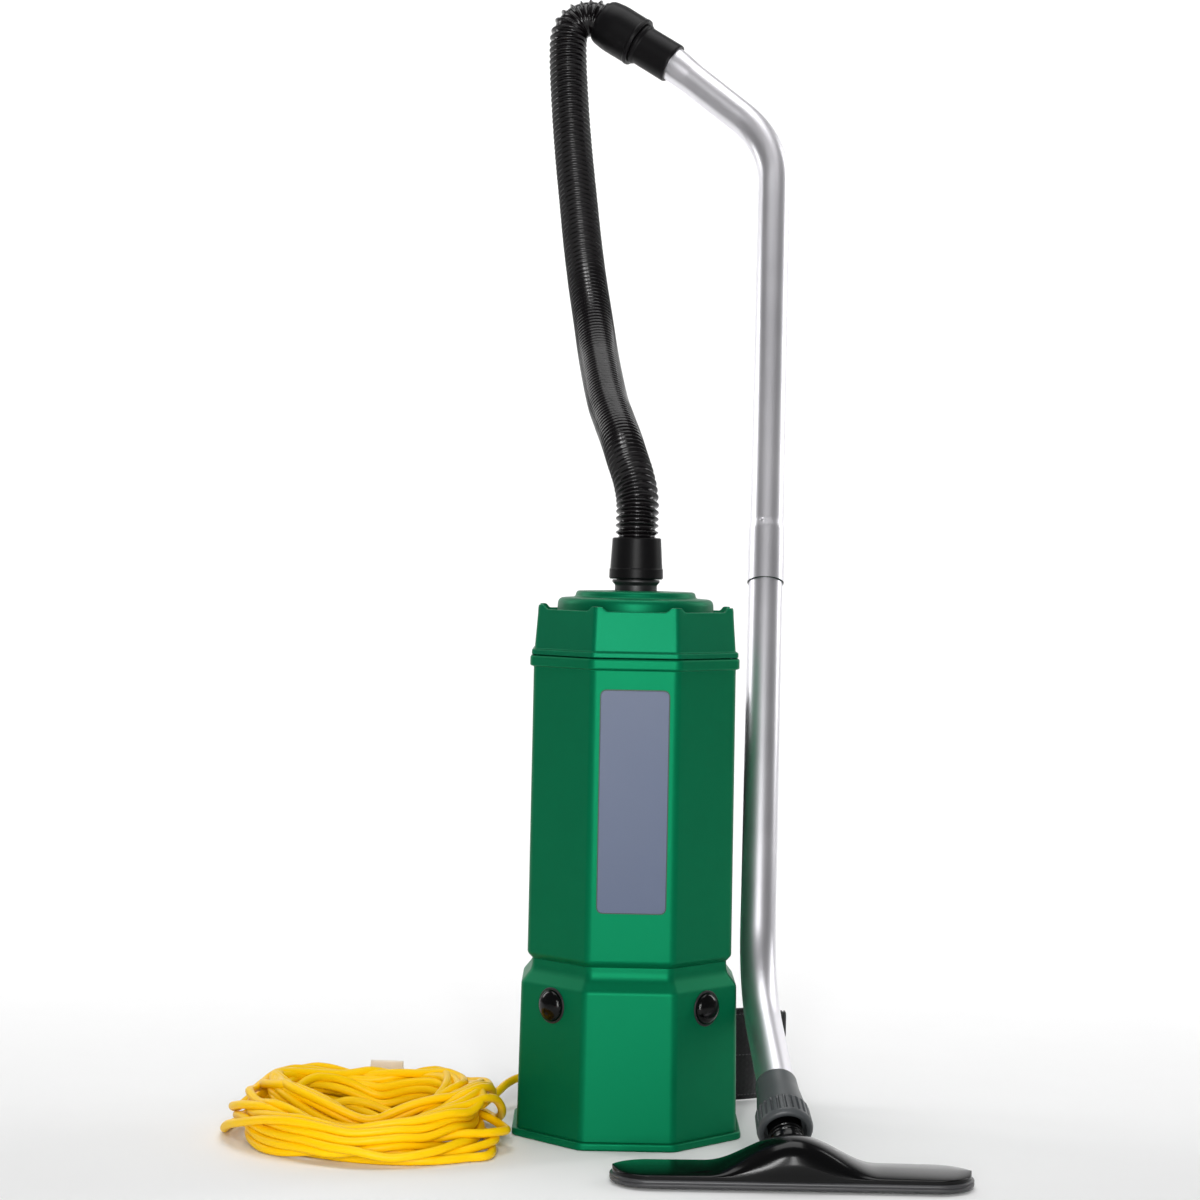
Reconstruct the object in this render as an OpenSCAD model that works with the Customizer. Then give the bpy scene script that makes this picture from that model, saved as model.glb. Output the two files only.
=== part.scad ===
// Backpack vacuum cleaner: an eight-sided canister with a harness on its back,
// a corrugated hose, a two-piece bent wand, a hard-floor tool and a coiled power cord.
// Millimetres. +Z is up, the front faces -Y, and the origin is the middle of the
// underside of the base plate.

/* [Canister] */
// Width across flats of the upper shell
shell_w = 214; // [210:1:216]
// Width across flats of the motor base at its shoulder
base_top_w = 225; // [222:1:227]
// Width across flats of the motor base at its foot
base_foot_w = 230; // [226:1:232]
// Width across flats of the base plate
plate_w = 240; // [238:1:242]
// Thickness of the moulded walls
wall = 3; // [2.5:0.5:3.5]
// Height of the shoulder of the motor base
base_top_z = 160; // [156:1:164]
// Height of the upper face of the shell's rim
rim_z = 503; // [500:1:506]
// Height of the lid's flat deck
deck_z = 548; // [545:1:550]

/* [Hose and wand] */
// Outside diameter of the hose
hose_d = 46; // [44:0.5:47]
// Outside diameter of the wand tube
wand_d = 38.1; // [38.1:0.1:38.1]
// Wall thickness of the wand tube
wand_wall = 1.2; // [1:0.1:1.5]
// Bend of the upper wand in degrees
upper_bend = 50; // [48:1:52]
// Radius of the wand's bends
bend_r = 115; // [110:1:120]

/* [Floor tool] */
// Length of the floor tool from end to end
tool_l = 356; // [350:1:360]
// Depth of the floor tool from front to back
tool_depth = 76; // [74:1:78]

/* [Cord] */
// Diameter of the power cord
cord_d = 10; // [9:0.5:10]
// Radius of the coil at the middle of its turns
coil_r = 112; // [110:1:113]
// Width of the bundle of turns
coil_w = 76; // [74:1:76]
// Height of the bundle of turns
coil_h = 46; // [44:1:48]

/* [Hidden] */
$fn = 64;
gap = 0.3;            // air left between neighbouring pieces
running = 0.08;       // air all round a shaft that turns in a bore
groove_z = 190;       // top of the groove between base and shell
groove_w = 204;       // width across flats of the groove
rim_h = 12;           // height of the shell's rim
rim_w = 220;          // width across flats of the rim
lid_w = 210;          // width across flats of the lid
lid_bead_w = 216;     // width across flats of the bead round the lid's lower edge
step_r = [83, 63];    // radii of the two round steps on the lid
step_z = [563, 570];  // heights of the two round steps
port_r = 22.4;        // outside radius of the hose port
port_top = 586;       // top of the hose port
cuff_z = [583, 628];  // lower and upper edge of the canister cuff
knob_z = 141;         // height of the two domed knobs
knob_r = 16;          // radius of the domed knobs
motor_r = 66;         // radius of the suction motor
rock_z = 118;         // height of the rocker switch
rock_side = 135;      // direction of the rocker switch round the canister, in degrees
gland_z = 34;         // height of the cord gland
gland_side = -135;    // direction of the cord gland round the canister, in degrees
gland_depth = 6;                       // how far the gland reaches into the wall
tube_in = wand_d / 2 - wand_wall;  // inside radius of the wand tube
seam = 0.05;          // air between the stretches of one bent tube

// --- directions and places along the wand -------------------------------------------
corner = [136, -13.7, 153.4];          // where the lower wand's two straights would meet
up_dir = unit([0.0254, 0.3736, 0.9272]);  // up the straight part of the wand
toe_dir = unit([0.09, -0.855, -0.51]);    // down the last stretch of the wand
heel_turn = acos(-up_dir * toe_dir);      // angle of the lower bend
heel_len = bend_r * tan(heel_turn / 2);   // from the corner to each end of the lower bend
joint_at = 461;                        // lower edge of the swaged joint, from the corner
joint_len = 73;                        // length of the swaged joint
crook_at = 974;                        // start of the upper bend, from the corner
crook_foot = corner + crook_at * up_dir;
side_dir = unit([-1, 0, 0] - ([-1, 0, 0] * up_dir) * up_dir);
crook_dir = cos(upper_bend) * up_dir + sin(upper_bend) * side_dir;
crook_end = crook_foot + bend_r * (sin(upper_bend) * up_dir + (1 - cos(upper_bend)) * side_dir);
cuff_at = 111;                         // from the upper bend to the mouth of the wand cuff
cuff_dip = 7;                          // dip of the cuff below the tube it grips, in degrees
cuff_dir = cos(upper_bend + cuff_dip) * up_dir + sin(upper_bend + cuff_dip) * side_dir;
cuff_mouth = crook_end + cuff_at * crook_dir;
cuff_len = 50;                         // length of the wand cuff that shows
collar_len = 54;                       // length of the hose collar
sleeve_at = 150;                       // start of the grey sleeve, from the corner
ring_at = 193;                         // start of the lock ring, from the corner
ring_len = 29;                         // length of the lock ring
toe_end = 186;                         // end of the lower wand, from the corner
pivot_at = 258;                        // tilt axis of the floor tool, from the corner
pivot = corner + pivot_at * toe_dir;   // centre of the tilt axis
barrel_r = 15;                         // radius of the neck's cross barrel
barrel_l = 44;                         // length of the neck's cross barrel
neck_r = 17.5;                         // radius of the neck
tool_x = pivot.x;
tool_y = -286 + tool_depth / 2;        // middle of the floor tool

// --- routes ---------------------------------------------------------------------------
// middle line of the hose from the canister cuff to the hose collar
hose_route = [
    [0, 0, 600], [0, 0, 628], [0, 2, 646], [0, 8, 668], [-4, 20, 690], [-11, 38, 712], [-18, 60, 734],
    [-26, 86, 756], [-34, 115, 780], [-44, 170, 828], [-52, 222, 878], [-60, 270, 928], [-67, 308, 979],
    [-73, 342, 1031], [-79, 372, 1083], [-84, 396, 1134], [-88, 416, 1186], [-89.5, 425, 1215],
    [-89.5, 431, 1239], [-86, 434.5, 1253], [-76, 436.5, 1263], [-62, 436, 1266.5], [-48.5, 433.4, 1262.8],
    [-40.9, 431.4, 1258]
];
// middle line of the cord from its gland to the coil
cord_route = [
    [-88, 88, 34], [-96, 96, 33], [-105, 101, 28], [-114, 101, 20], [-123, 93, 13], [-131, 80, 8],
    [-140, 60, 5.6], [-153.9, 38.1, 5.3], [-163.8, 28.2, 5.3]
];
// middle line of the cord from the coil down to the plug
tail_route = [
    [-199.6, 54.7, 34], [-196.7, 60, 34], [-192.4, 72, 33], [-192.4, 87, 28], [-197.5, 100.5, 20],
    [-207, 111.5, 13], [-219.5, 119, 9], [-230, 121.3, 10], [-241, 120.9, 13]
];
coil_at = [-270, -78, 0];              // centre of the coil on the floor
plug_turn = 190;                       // direction in which the plug points
plug_l = 46;                           // from the end of the cord to the middle of the plug
plug_gap = 2;                          // between the end of the cord and the plug
plug_at = [-241, 120.9, 0] + (plug_l + plug_gap) * [cos(plug_turn), sin(plug_turn), 0];

// --- helpers --------------------------------------------------------------------------
function unit(v) = v / norm(v);
function flip(list) = [for (i = [len(list) - 1 : -1 : 0]) list[i]];
// a frame with z along the given direction, as columns x, y, z and an origin
function frame_of(x, y, z, o) = [
    [x.x, y.x, z.x, o.x], [x.y, y.y, z.y, o.y], [x.z, y.z, z.z, o.z], [0, 0, 0, 1]
];

module octagon(w, h) rotate(22.5) cylinder(r = w / 2 / cos(22.5), h = h, $fn = 8);

module octagon_ring(w, inner, h) difference() {
    octagon(w, h);
    translate([0, 0, -1]) octagon(inner, h + 2);
}

// an octagonal body turned in eight flats from half a side view, [half width, z] from foot to top
module octagon_stack(side_view) intersection_for(a = [0 : 45 : 135])
    rotate([90, 0, a]) linear_extrude(2 * plate_w, center = true)
        polygon(concat(side_view, flip([for (p = side_view) [-p.x, p.y]])));

module pipe(r, inner, h) difference() {
    cylinder(r = r, h = h);
    translate([0, 0, -1]) cylinder(r = inner, h = h + 2);
}

// places children at a point with their z axis along a direction
module along(p, d) translate(p) rotate([0, acos(d.z), atan2(d.y, d.x)]) children();

// sweeps a profile drawn at x = bend_r round a bend that starts at p along d and turns to the inner side n
module bend(p, d, n, angle)
    multmatrix(frame_of(-n, d, cross(-n, d), p + bend_r * n))
        rotate_extrude(angle = angle) translate([bend_r, 0]) children();

module tube_profile(r, inner) difference() {
    circle(r);
    circle(inner);
}

// a tube wall turned from [r, z] points outside, with a straight bore
module turned(points, inner) rotate_extrude()
    polygon(concat([[inner, points[0].y]], points, [[inner, points[len(points) - 1].y]]));

// a solid tube of n sides along a list of points
module swept(points, r, n) {
    count = len(points);
    dirs = [for (i = [0 : count - 1])
        unit(points[min(i + 1, count - 1)] - points[max(i - 1, 0)])];
    rings = [for (i = [0 : count - 1])
        let (side = unit(cross([0.12, 1, 0.02], dirs[i])), up = cross(dirs[i], side))
        for (k = [0 : n - 1]) points[i] + r * (cos(360 * k / n) * side + sin(360 * k / n) * up)];
    walls = [for (i = [0 : count - 2], k = [0 : n - 1])
        [i * n + k, (i + 1) * n + k, (i + 1) * n + (k + 1) % n, i * n + (k + 1) % n]];
    polyhedron(rings, concat(walls, [[for (k = [0 : n - 1]) k]],
        [[for (k = [n - 1 : -1 : 0]) (count - 1) * n + k]]), convexity = 8);
}

// a smooth curve through a list of points, with steps points in each stretch
function smooth(p, steps) = concat([for (i = [0 : len(p) - 2], s = [0 : steps - 1])
    let (a = p[max(i - 1, 0)], b = p[i], c = p[i + 1], d = p[min(i + 2, len(p) - 1)], t = s / steps)
    0.5 * (2 * b + (c - a) * t + (2 * a - 5 * b + 4 * c - d) * t * t + (3 * b - a - 3 * c + d) * t * t * t)],
    [p[len(p) - 1]]);

module stadium(l, w) {
    translate([-(l - w) / 2, 0]) circle(w / 2);
    translate([(l - w) / 2, 0]) circle(w / 2);
    square([l - w, w], center = true);
}

// puts children on one of the eight faces: x runs round the canister, z points out
module on_face(side, out, z)
    rotate(side) translate([0, -out, z]) rotate([90, 0, 0]) children();

// --- motor base -------------------------------------------------------------------------
module base_plate() color([0.02, 0.45, 0.26]) difference() {
    octagon(plate_w, 8);
    for (a = [0 : 30 : 330]) rotate(a) translate([0, 0, -1]) {
        translate([46, -4, 0]) cube([34, 8, 5]);
    }
    translate([0, 0, 5]) cylinder(r = 88, h = 4);
}

module motor_base() color([0.02, 0.42, 0.25]) difference() {
    octagon_stack([[base_foot_w / 2, 8], [base_top_w / 2, base_top_z], [groove_w / 2 + 1, base_top_z + 14]]);
    translate([0, 0, 7]) octagon(base_top_w - 2 * wall - 2, base_top_z - 7 - wall);
    translate([0, 0, base_top_z - 4]) cylinder(r = 88, h = 30);
    for (side = [-45, 45]) on_face(side, base_top_w / 2 - 12, knob_z) cylinder(r = 4, h = 30);
    on_face(rock_side, base_top_w / 2 - 12, rock_z) translate([-11, -15, 0]) cube([22, 30, 30]);
    on_face(gland_side, base_top_w / 2 - 12, gland_z) cylinder(r = 7, h = 30);
}

module joint_ring() color([0.01, 0.26, 0.14]) translate([0, 0, 174 + gap])
    octagon_ring(groove_w - 6, 2 * 84, 12);

module main_shell() color([0.02, 0.42, 0.25]) difference() {
    union() {
        translate([0, 0, 186 + 2 * gap]) octagon(groove_w, 6);
        translate([0, 0, groove_z]) octagon(shell_w, rim_z - groove_z);
        translate([0, 0, rim_z - rim_h]) octagon(rim_w, rim_h);
    }
    translate([0, 0, 184]) octagon(groove_w - 2 * wall, 12);
    translate([0, 0, groove_z + wall]) octagon(shell_w - 2 * wall, 400);
    on_face(0, shell_w / 2 - 0.8, 356) translate([-35.5, -114.5, 0]) cube([71, 229, 5]);
}

module badge_plate() color([0.3, 0.36, 0.5])
    on_face(0, shell_w / 2 - 0.7, 356) linear_extrude(1.2) difference() {
        square([70, 228], center = true);
        for (x = [-1, 1], y = [-1, 1]) translate([x * 35, y * 114]) difference() {
            square(10, center = true);
            translate([-x * 5, -y * 5]) circle(5);
        }
    }

module base_knobs() color([0.02, 0.02, 0.02]) for (side = [-45, 45])
    on_face(side, base_top_w / 2 + 0.6 + gap, knob_z) {
        rotate_extrude() intersection() {
            union() {
                translate([0, -14]) circle(knob_r + 10);
            }
            translate([0, 0.4]) square([knob_r, 20]);
        }
        translate([0, 0, -16]) cylinder(r = 3.7, h = 17);
    }

module exhaust_filter() color([0.9, 0.9, 0.86])
    translate([0, 0, 5 + gap]) pipe(87, 20, 10);

module motor_mount() color([0.06, 0.06, 0.06]) translate([0, 0, 24]) difference() {
    octagon(base_top_w - 2 * wall - 3, 8);
    translate([0, 0, -1]) cylinder(r = 50, h = 12);
    for (a = [30 : 60 : 330]) rotate(a) translate([82, 0, -1]) cylinder(r = 9, h = 12);
}

module suction_motor() color([0.55, 0.56, 0.58]) translate([0, 0, 32 + gap]) {
    cylinder(r = motor_r, h = 52);
    translate([0, 0, 52]) cylinder(r = 48, h = 56);
}

module motor_cap() color([0.1, 0.1, 0.1]) translate([0, 0, 140 + 2 * gap]) {
    cylinder(r = 50, h = 8);
    translate([0, 0, 8]) cylinder(r = 80, h = 8);
}

module dome_filter() color([0.85, 0.85, 0.8]) translate([0, 0, 157]) {
    cylinder(r = 78, h = 20);
    translate([0, 0, 20]) cylinder(r1 = 78, r2 = 60, h = 14);
}

module dust_bag() color([0.8, 0.76, 0.64]) {
    translate([0, 0, 206]) cylinder(r1 = 62, r2 = 84, h = 22);
    translate([0, 0, 228]) cylinder(r = 84, h = 240);
}

module bag_collar() color([0.7, 0.6, 0.42]) translate([0, 0, 468 + gap]) {
    pipe(90, 24, 5);
    for (a = [0 : 90 : 270]) rotate(a) translate([88, -6, 0]) cube([15, 12, 5]);
}

module switch_bezel() color([0.03, 0.03, 0.03])
    on_face(rock_side, base_top_w / 2 - 8, rock_z) difference() {
        union() {
            translate([-10.6, -14.6, 0]) cube([21.2, 29.2, 10]);
            translate([-14, -18, 9.6]) cube([28, 36, 2.4]);
        }
        translate([-7.5, -11.5, -1]) cube([15, 23, 20]);
    }

module switch_rocker() color([0.55, 0.04, 0.03])
    on_face(rock_side, base_top_w / 2 - 5, rock_z) intersection() {
        rotate([0, 90, 0]) cylinder(r = 11, h = 14, center = true);
        translate([-7, -10.8, -4]) cube([14, 21.6, 12]);
    }

// --- lid ----------------------------------------------------------------------------------
module lid() color([0.02, 0.5, 0.3]) difference() {
    union() {
        translate([0, 0, rim_z + gap]) octagon(lid_bead_w, 5);
        translate([0, 0, rim_z + gap]) octagon(lid_w, deck_z - rim_z - gap);
        translate([0, 0, deck_z]) octagon_ring(lid_w, lid_w - 2 * wall, 4);
        for (i = [0 : 7]) rotate(i * 45 + 22.5) translate([lid_w / 2 / cos(22.5) - 8, 0, deck_z - 1])
            cylinder(r = 4, h = 7);
        for (i = [0, 1]) translate([0, 0, deck_z - 1]) cylinder(r = step_r[i], h = step_z[i] - deck_z + 1);
        translate([0, 0, rim_z - 10]) octagon(shell_w - 2 * wall - 1, 12);
    }
    translate([0, 0, rim_z - 12]) octagon(shell_w - 4 * wall, deck_z - rim_z + 12 - wall);
    translate([0, 0, deck_z - 10]) cylinder(r = step_r[1] - 6, h = step_z[1] - deck_z + 10 - wall);
    translate([0, 0, deck_z - 10]) cylinder(r = port_r - 1.9, h = 60);
}

module lid_gasket() color([0.05, 0.05, 0.05]) translate([0, 0, rim_z - 15])
    octagon_ring(shell_w - 2 * wall - 2, shell_w - 4 * wall - 4, 4.7);

module hose_port() color([0.02, 0.02, 0.02]) translate([0, 0, step_z[1] + 0.1]) {
    pipe(port_r, port_r - 4, port_top - step_z[1] - 7);
    translate([0, 0, port_top - step_z[1] - 7]) pipe(25, port_r - 4, 4);
    translate([0, 0, port_top - step_z[1] - 3]) pipe(port_r - 1.5, port_r - 4, 16);
}

// --- hose and cuffs -------------------------------------------------------------------------
module canister_cuff() color([0.03, 0.03, 0.03]) difference() {
    union() {
        translate([0, 0, cuff_z[0] + 0.6]) cylinder(r = 28.6, h = 12);
        translate([0, 0, cuff_z[0] + 11]) cylinder(r1 = 27.6, r2 = 25.8, h = cuff_z[1] - cuff_z[0] - 11);
    }
    translate([0, 0, cuff_z[0] - 1]) cylinder(r = port_r - 1.5 + running, h = 60);
    translate([0, 0, cuff_z[0] + 16.4]) cylinder(r = hose_d / 2 + 0.6, h = 60);
}

module hose() color([0.02, 0.02, 0.02]) swept(smooth(hose_route, 2), hose_d / 2, 12);

module hose_collar() color([0.03, 0.03, 0.03])
    along(cuff_mouth + (cuff_len + 0.6) * cuff_dir, cuff_dir) difference() {
        union() {
            cylinder(r = 30.7, h = collar_len - 12);
            translate([0, 0, collar_len - 13]) cylinder(r1 = 30.7, r2 = 27, h = 13);
        }
        translate([0, 0, -1]) cylinder(r = 23.6 + running, h = collar_len - 5);
        translate([0, 0, collar_len - 8]) cylinder(r = 25.4, h = 10);
    }

// grips the flared end of the wand, then dips away from it towards the hose
module wand_cuff() color([0.03, 0.03, 0.03]) difference() {
    along(cuff_mouth, cuff_dir) union() {
        cylinder(r = 24.4, h = cuff_len);
        cylinder(r = 23.6, h = cuff_len + 24);
    }
    along(cuff_mouth - 4 * crook_dir, crook_dir) cylinder(r = wand_d / 2 + 1.8, h = 24.5);
    along(cuff_mouth + 18 * cuff_dir, cuff_dir) cylinder(r = 17, h = 80);
}

// --- wand -------------------------------------------------------------------------------------
// The straights stop a hair short of the bends, so each stretch stays an exact solid.
module upper_wand() color([0.8, 0.81, 0.83]) {
    // swaged socket that slips over the lower wand, and the straight above it
    along(corner + joint_at * up_dir, up_dir) difference() {
        turned([[wand_d / 2 + 1.4, 0], [wand_d / 2 + 1.4, joint_len - 10], [wand_d / 2, joint_len],
            [wand_d / 2, crook_at - joint_at - seam]], tube_in);
        translate([0, 0, -1]) cylinder(r = wand_d / 2 + 0.1, h = joint_len - 9);
    }
    bend(crook_foot, up_dir, side_dir, upper_bend) tube_profile(wand_d / 2, tube_in);
    along(crook_end + seam * crook_dir, crook_dir)
        turned([[wand_d / 2, 0], [wand_d / 2, cuff_at - 30], [wand_d / 2 + 1.7, cuff_at - 5],
            [wand_d / 2 + 1.7, cuff_at + 20]], tube_in);
}

module lower_wand() color([0.8, 0.81, 0.83]) {
    heel = corner + heel_len * up_dir;
    inside = unit(toe_dir + up_dir * (toe_dir * -up_dir));
    along(heel + seam * up_dir, up_dir) pipe(wand_d / 2, tube_in, joint_at + joint_len - 14 - heel_len);
    bend(heel, -up_dir, inside, heel_turn) tube_profile(wand_d / 2, tube_in);
    along(corner + (heel_len + seam) * toe_dir, toe_dir) pipe(wand_d / 2, tube_in, toe_end - heel_len);
}

module wand_sleeve() color([0.3, 0.31, 0.33]) along(corner + sleeve_at * toe_dir, toe_dir) difference() {
    union() {
        cylinder(r1 = 21.4, r2 = 25, h = ring_at - sleeve_at - gap);
        cylinder(r = 22, h = ring_at - sleeve_at + 16);
    }
    translate([0, 0, -1]) cylinder(r = wand_d / 2 + 0.1, h = toe_end - sleeve_at + 1.1);
    translate([0, 0, toe_end - sleeve_at - 0.5]) cylinder(r = neck_r + running, h = 60);
}

module lock_ring() color([0.22, 0.23, 0.25]) along(corner + ring_at * toe_dir, toe_dir) difference() {
    union() {
        cylinder(r = 27, h = ring_len);
        for (a = [0 : 15 : 345]) rotate(a) translate([26, -1.6, 2]) cube([2.4, 3.2, ring_len - 6]);
    }
    translate([0, 0, -1]) cylinder(r = 22 + running, h = 18);
    translate([0, 0, 16]) cylinder(r = 21, h = 20);
}

// --- floor tool ---------------------------------------------------------------------------------
module tool_neck() color([0.02, 0.02, 0.02]) difference() {
    union() {
        along(corner + (toe_end + 1) * toe_dir, toe_dir)
            pipe(neck_r, neck_r - 2.5, pivot_at - toe_end - 1 - barrel_r + 4);
        translate(pivot) rotate([0, 90, 0]) cylinder(r = barrel_r, h = barrel_l, center = true);
    }
    translate(pivot) rotate([0, 90, 0]) cylinder(r = barrel_r - 3, h = barrel_l - 8, center = true);
    translate(pivot - [0, 0, barrel_r + 2]) cylinder(r = 9, h = barrel_r);
    along(corner + (pivot_at - 30) * toe_dir, toe_dir) cylinder(r = 9, h = 26);
}

// rounded bell outline of the hump over the neck
function bell(i, n) = let (x = -78 + 156 * i / n) [x, 20 + 30 * pow(cos(x * 90 / 78), 1.6)];

module tool_shell() color([0.02, 0.02, 0.02]) difference() {
    union() {
        translate([tool_x, tool_y, 10]) linear_extrude(6) stadium(tool_l - 6, tool_depth - 6);
        translate([tool_x, tool_y, 16]) linear_extrude(5) stadium(tool_l - 18, tool_depth - 20);
        translate([tool_x, tool_y + 30, 0]) rotate([90, 0, 0]) linear_extrude(58)
            polygon(concat([[-78, 12], [78, 12]], flip([for (i = [0 : 24]) bell(i, 24)])));
    }
    translate([tool_x, tool_y, 9]) linear_extrude(4) stadium(tool_l - 14, tool_depth - 14);
    translate(pivot) rotate([0, 90, 0]) cylinder(r = barrel_r + running, h = barrel_l + 1.2, center = true);
    for (tilt = [-24, -12, 0, 10, 18]) translate(pivot) rotate([tilt, 0, 0])
        along([0, 0, 0], -toe_dir) cylinder(r = neck_r + 1.4, h = 80);
    translate([tool_x - 20, tool_y - 24, 12]) cube([40, 34, 12]);
}

module tool_plate() color([0.03, 0.03, 0.03]) difference() {
    translate([tool_x, tool_y, 5]) linear_extrude(4.7) difference() {
        stadium(tool_l - 16, tool_depth - 16);
        square([290, 16], center = true);
    }
    translate(pivot) rotate([0, 90, 0]) cylinder(r = barrel_r + 0.6, h = barrel_l + 1.2, center = true);
}

module tool_bumper() color([0.16, 0.16, 0.17]) translate([tool_x, tool_y, 3]) linear_extrude(7) difference() {
    stadium(tool_l, tool_depth);
    stadium(tool_l - 14, tool_depth - 14);
}

module bristles(y) translate([tool_x - 146, tool_y + y - 2, 0]) cube([292, 4, 4.9]);
module front_bristles() color([0.08, 0.08, 0.08]) bristles(-14);
module rear_bristles() color([0.08, 0.08, 0.08]) bristles(14);

// --- harness --------------------------------------------------------------------------------------
back_y = 124;         // front face of the back plate
plate_t = 4;          // thickness of the back plate
pad_y = back_y + plate_t + 0.2;
strap_x = 62;         // middle of each shoulder strap
strap_w = 50;         // width of each shoulder strap
strap_t = 11;         // thickness of each shoulder strap

// arc of the shoulder strap seen from the side: [y, z] at angle a, outwards by r
function strap_pt(a, r) = [pad_y + 12 + (104 + r) * pow(max(cos(a), 0), 0.8), 296 + (150 + r) * sin(a)];

module slab(w, h, t, r) linear_extrude(t) {
    square([w - 2 * r, h], center = true);
    square([w, h - 2 * r], center = true);
    for (x = [-1, 1], y = [-1, 1]) translate([x * (w / 2 - r), y * (h / 2 - r)]) circle(r);
}

module back_plate() color([0.04, 0.04, 0.04]) translate([0, back_y + plate_t, 262]) rotate([90, 0, 0])
    difference() {
        slab(186, 430, plate_t, 28);
        for (x = [-1, 1], z = [-1, 1]) translate([x * strap_x, z * 186, -1]) slab(44, 8, plate_t + 2, 3);
        translate([0, 182, -1]) slab(86, 26, plate_t + 2, 12);
    }

module plate_brackets() color([0.07, 0.07, 0.07]) {
    for (x = [-26, 26]) {
        translate([x - 12, shell_w / 2 + 0.1, 430]) cube([24, back_y - shell_w / 2 - 0.2, 20]);
        translate([x - 12, shell_w / 2 + 0.1, 240]) cube([24, back_y - shell_w / 2 - 0.2, 20]);
    }
}

module back_pad() color([0.05, 0.05, 0.05]) translate([0, pad_y + 20, 272]) rotate([90, 0, 0])
    slab(94, 330, 20, 30);

module strap(x) translate([x - strap_w / 2, 0, 0])
    rotate([90, 0, 90]) linear_extrude(strap_w)
        polygon(concat([[pad_y, strap_pt(88, strap_t / 2).y]],
            [for (i = [0 : 24]) strap_pt(88 - i * 5.6, strap_t / 2)],
            [for (i = [24 : -1 : 0]) strap_pt(88 - i * 5.6, -strap_t / 2)],
            [[pad_y, strap_pt(88, -strap_t / 2).y]]));

module strap_left() color([0.05, 0.05, 0.05]) strap(-strap_x);
module strap_right() color([0.05, 0.05, 0.05]) strap(strap_x);

module strap_adjusters() color([0.02, 0.02, 0.02]) for (s = [-1, 1])
    translate([s * strap_x, strap_pt(-46.4, 0).x, strap_pt(-46.4, 0).y]) rotate([-45, 0, 0])
        translate([-17, -3, -23]) cube([34, 6, 18]);

module strap_webbing() color([0.03, 0.03, 0.03]) for (s = [-1, 1])
    translate([s * strap_x - 12.5, 0, 0]) rotate([90, 0, 90]) linear_extrude(25)
        polygon([[pad_y + 0.4, 108], [pad_y + 62, 152], [pad_y + 62, 154.5], [pad_y + 0.4, 110.8]]);

module belt_pad() color([0.05, 0.05, 0.05]) translate([0, pad_y + 16, 58]) rotate([90, 0, 0])
    slab(150, 94, 15, 20);

// a side wing of the belt, from its outline seen from above
module wing(outline) translate([0, 0, 12]) linear_extrude(92) polygon(outline);

module belt_wing_left() color([0.05, 0.05, 0.05])
    wing([[-76, 130], [-76, 144], [-87, 156], [-92, 170], [-94, 192], [-94, 239], [-107, 239],
        [-107, 190], [-105, 164], [-100, 146], [-90, 134]]);

module belt_wing_right() color([0.05, 0.05, 0.05])
    wing([[76, 130], [100, 131], [122, 136], [140, 144], [152, 152], [152, 165], [140, 157],
        [122, 149], [100, 144], [76, 143]]);

module belt_webbing() color([0.03, 0.03, 0.03]) {
    translate([0, 0, 62]) linear_extrude(38)
        polygon([[152.3, 158], [166, 163], [166, 165.5], [152.3, 160.5]]);
    translate([-102, 239.3, 62]) cube([2.5, 30, 38]);
}

module buckle_socket() color([0.02, 0.02, 0.02]) translate([166.3, 158, 68]) difference() {
    cube([24, 12, 32]);
    translate([8, 3, 4]) cube([20, 6, 24]);
}

module buckle_tongue() color([0.02, 0.02, 0.02]) translate([-107, 269.6, 68]) {
    cube([12, 12, 32]);
    translate([3, 11, 5]) cube([6, 15, 5]);
    translate([3, 11, 22]) cube([6, 15, 5]);
}

// --- power cord -----------------------------------------------------------------------------------
module cord_gland() color([0.02, 0.02, 0.02]) on_face(gland_side, base_foot_w / 2, gland_z) {
    translate([0, 0, -gland_depth]) cylinder(r = 6.8, h = gland_depth + 1);
    cylinder(r = 9.5, h = 3);
    translate([0, 0, 2]) cylinder(r1 = 8, r2 = 6.4, h = 7.4);
}

module cord_tube() color([0.95, 0.72, 0.02]) {
    swept(smooth(cord_route, 3), cord_d / 2, 8);
    swept(smooth(tail_route, 3), cord_d / 2, 8);
}

module cord_coil() color([0.95, 0.72, 0.02]) translate(coil_at) rotate_extrude()
    translate([coil_r - coil_w / 2 + 6, 6]) union() {
        translate([0, -6]) square([coil_w - 12, coil_h]);
        translate([-6, 0]) square([coil_w, coil_h - 12]);
        for (x = [0, coil_w - 12], z = [0, coil_h - 12]) translate([x, z]) circle(6);
    }

module cord_tag() color([0.9, 0.88, 0.84]) translate(coil_at + [-8, coil_r + coil_w / 2 + 0.4, 28])
    cube([36, 1, 26]);

module plug_body() color([0.95, 0.72, 0.02]) translate(plug_at) rotate(plug_turn) {
    translate([-20, -13, 1]) cube([34, 26, 24]);
    translate([-19, 0, 13]) rotate([0, -90, 0]) cylinder(r1 = 9, r2 = 6, h = plug_l - 19);
}

module plug_blades() color([0.8, 0.7, 0.4]) translate(plug_at) rotate(plug_turn) {
    for (y = [-6.4, 4.9]) translate([14.1, y, 12]) cube([17, 1.5, 6.4]);
    translate([14.1, 0, 6.5]) rotate([0, 90, 0]) cylinder(r = 2.4, h = 20);
}

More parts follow.
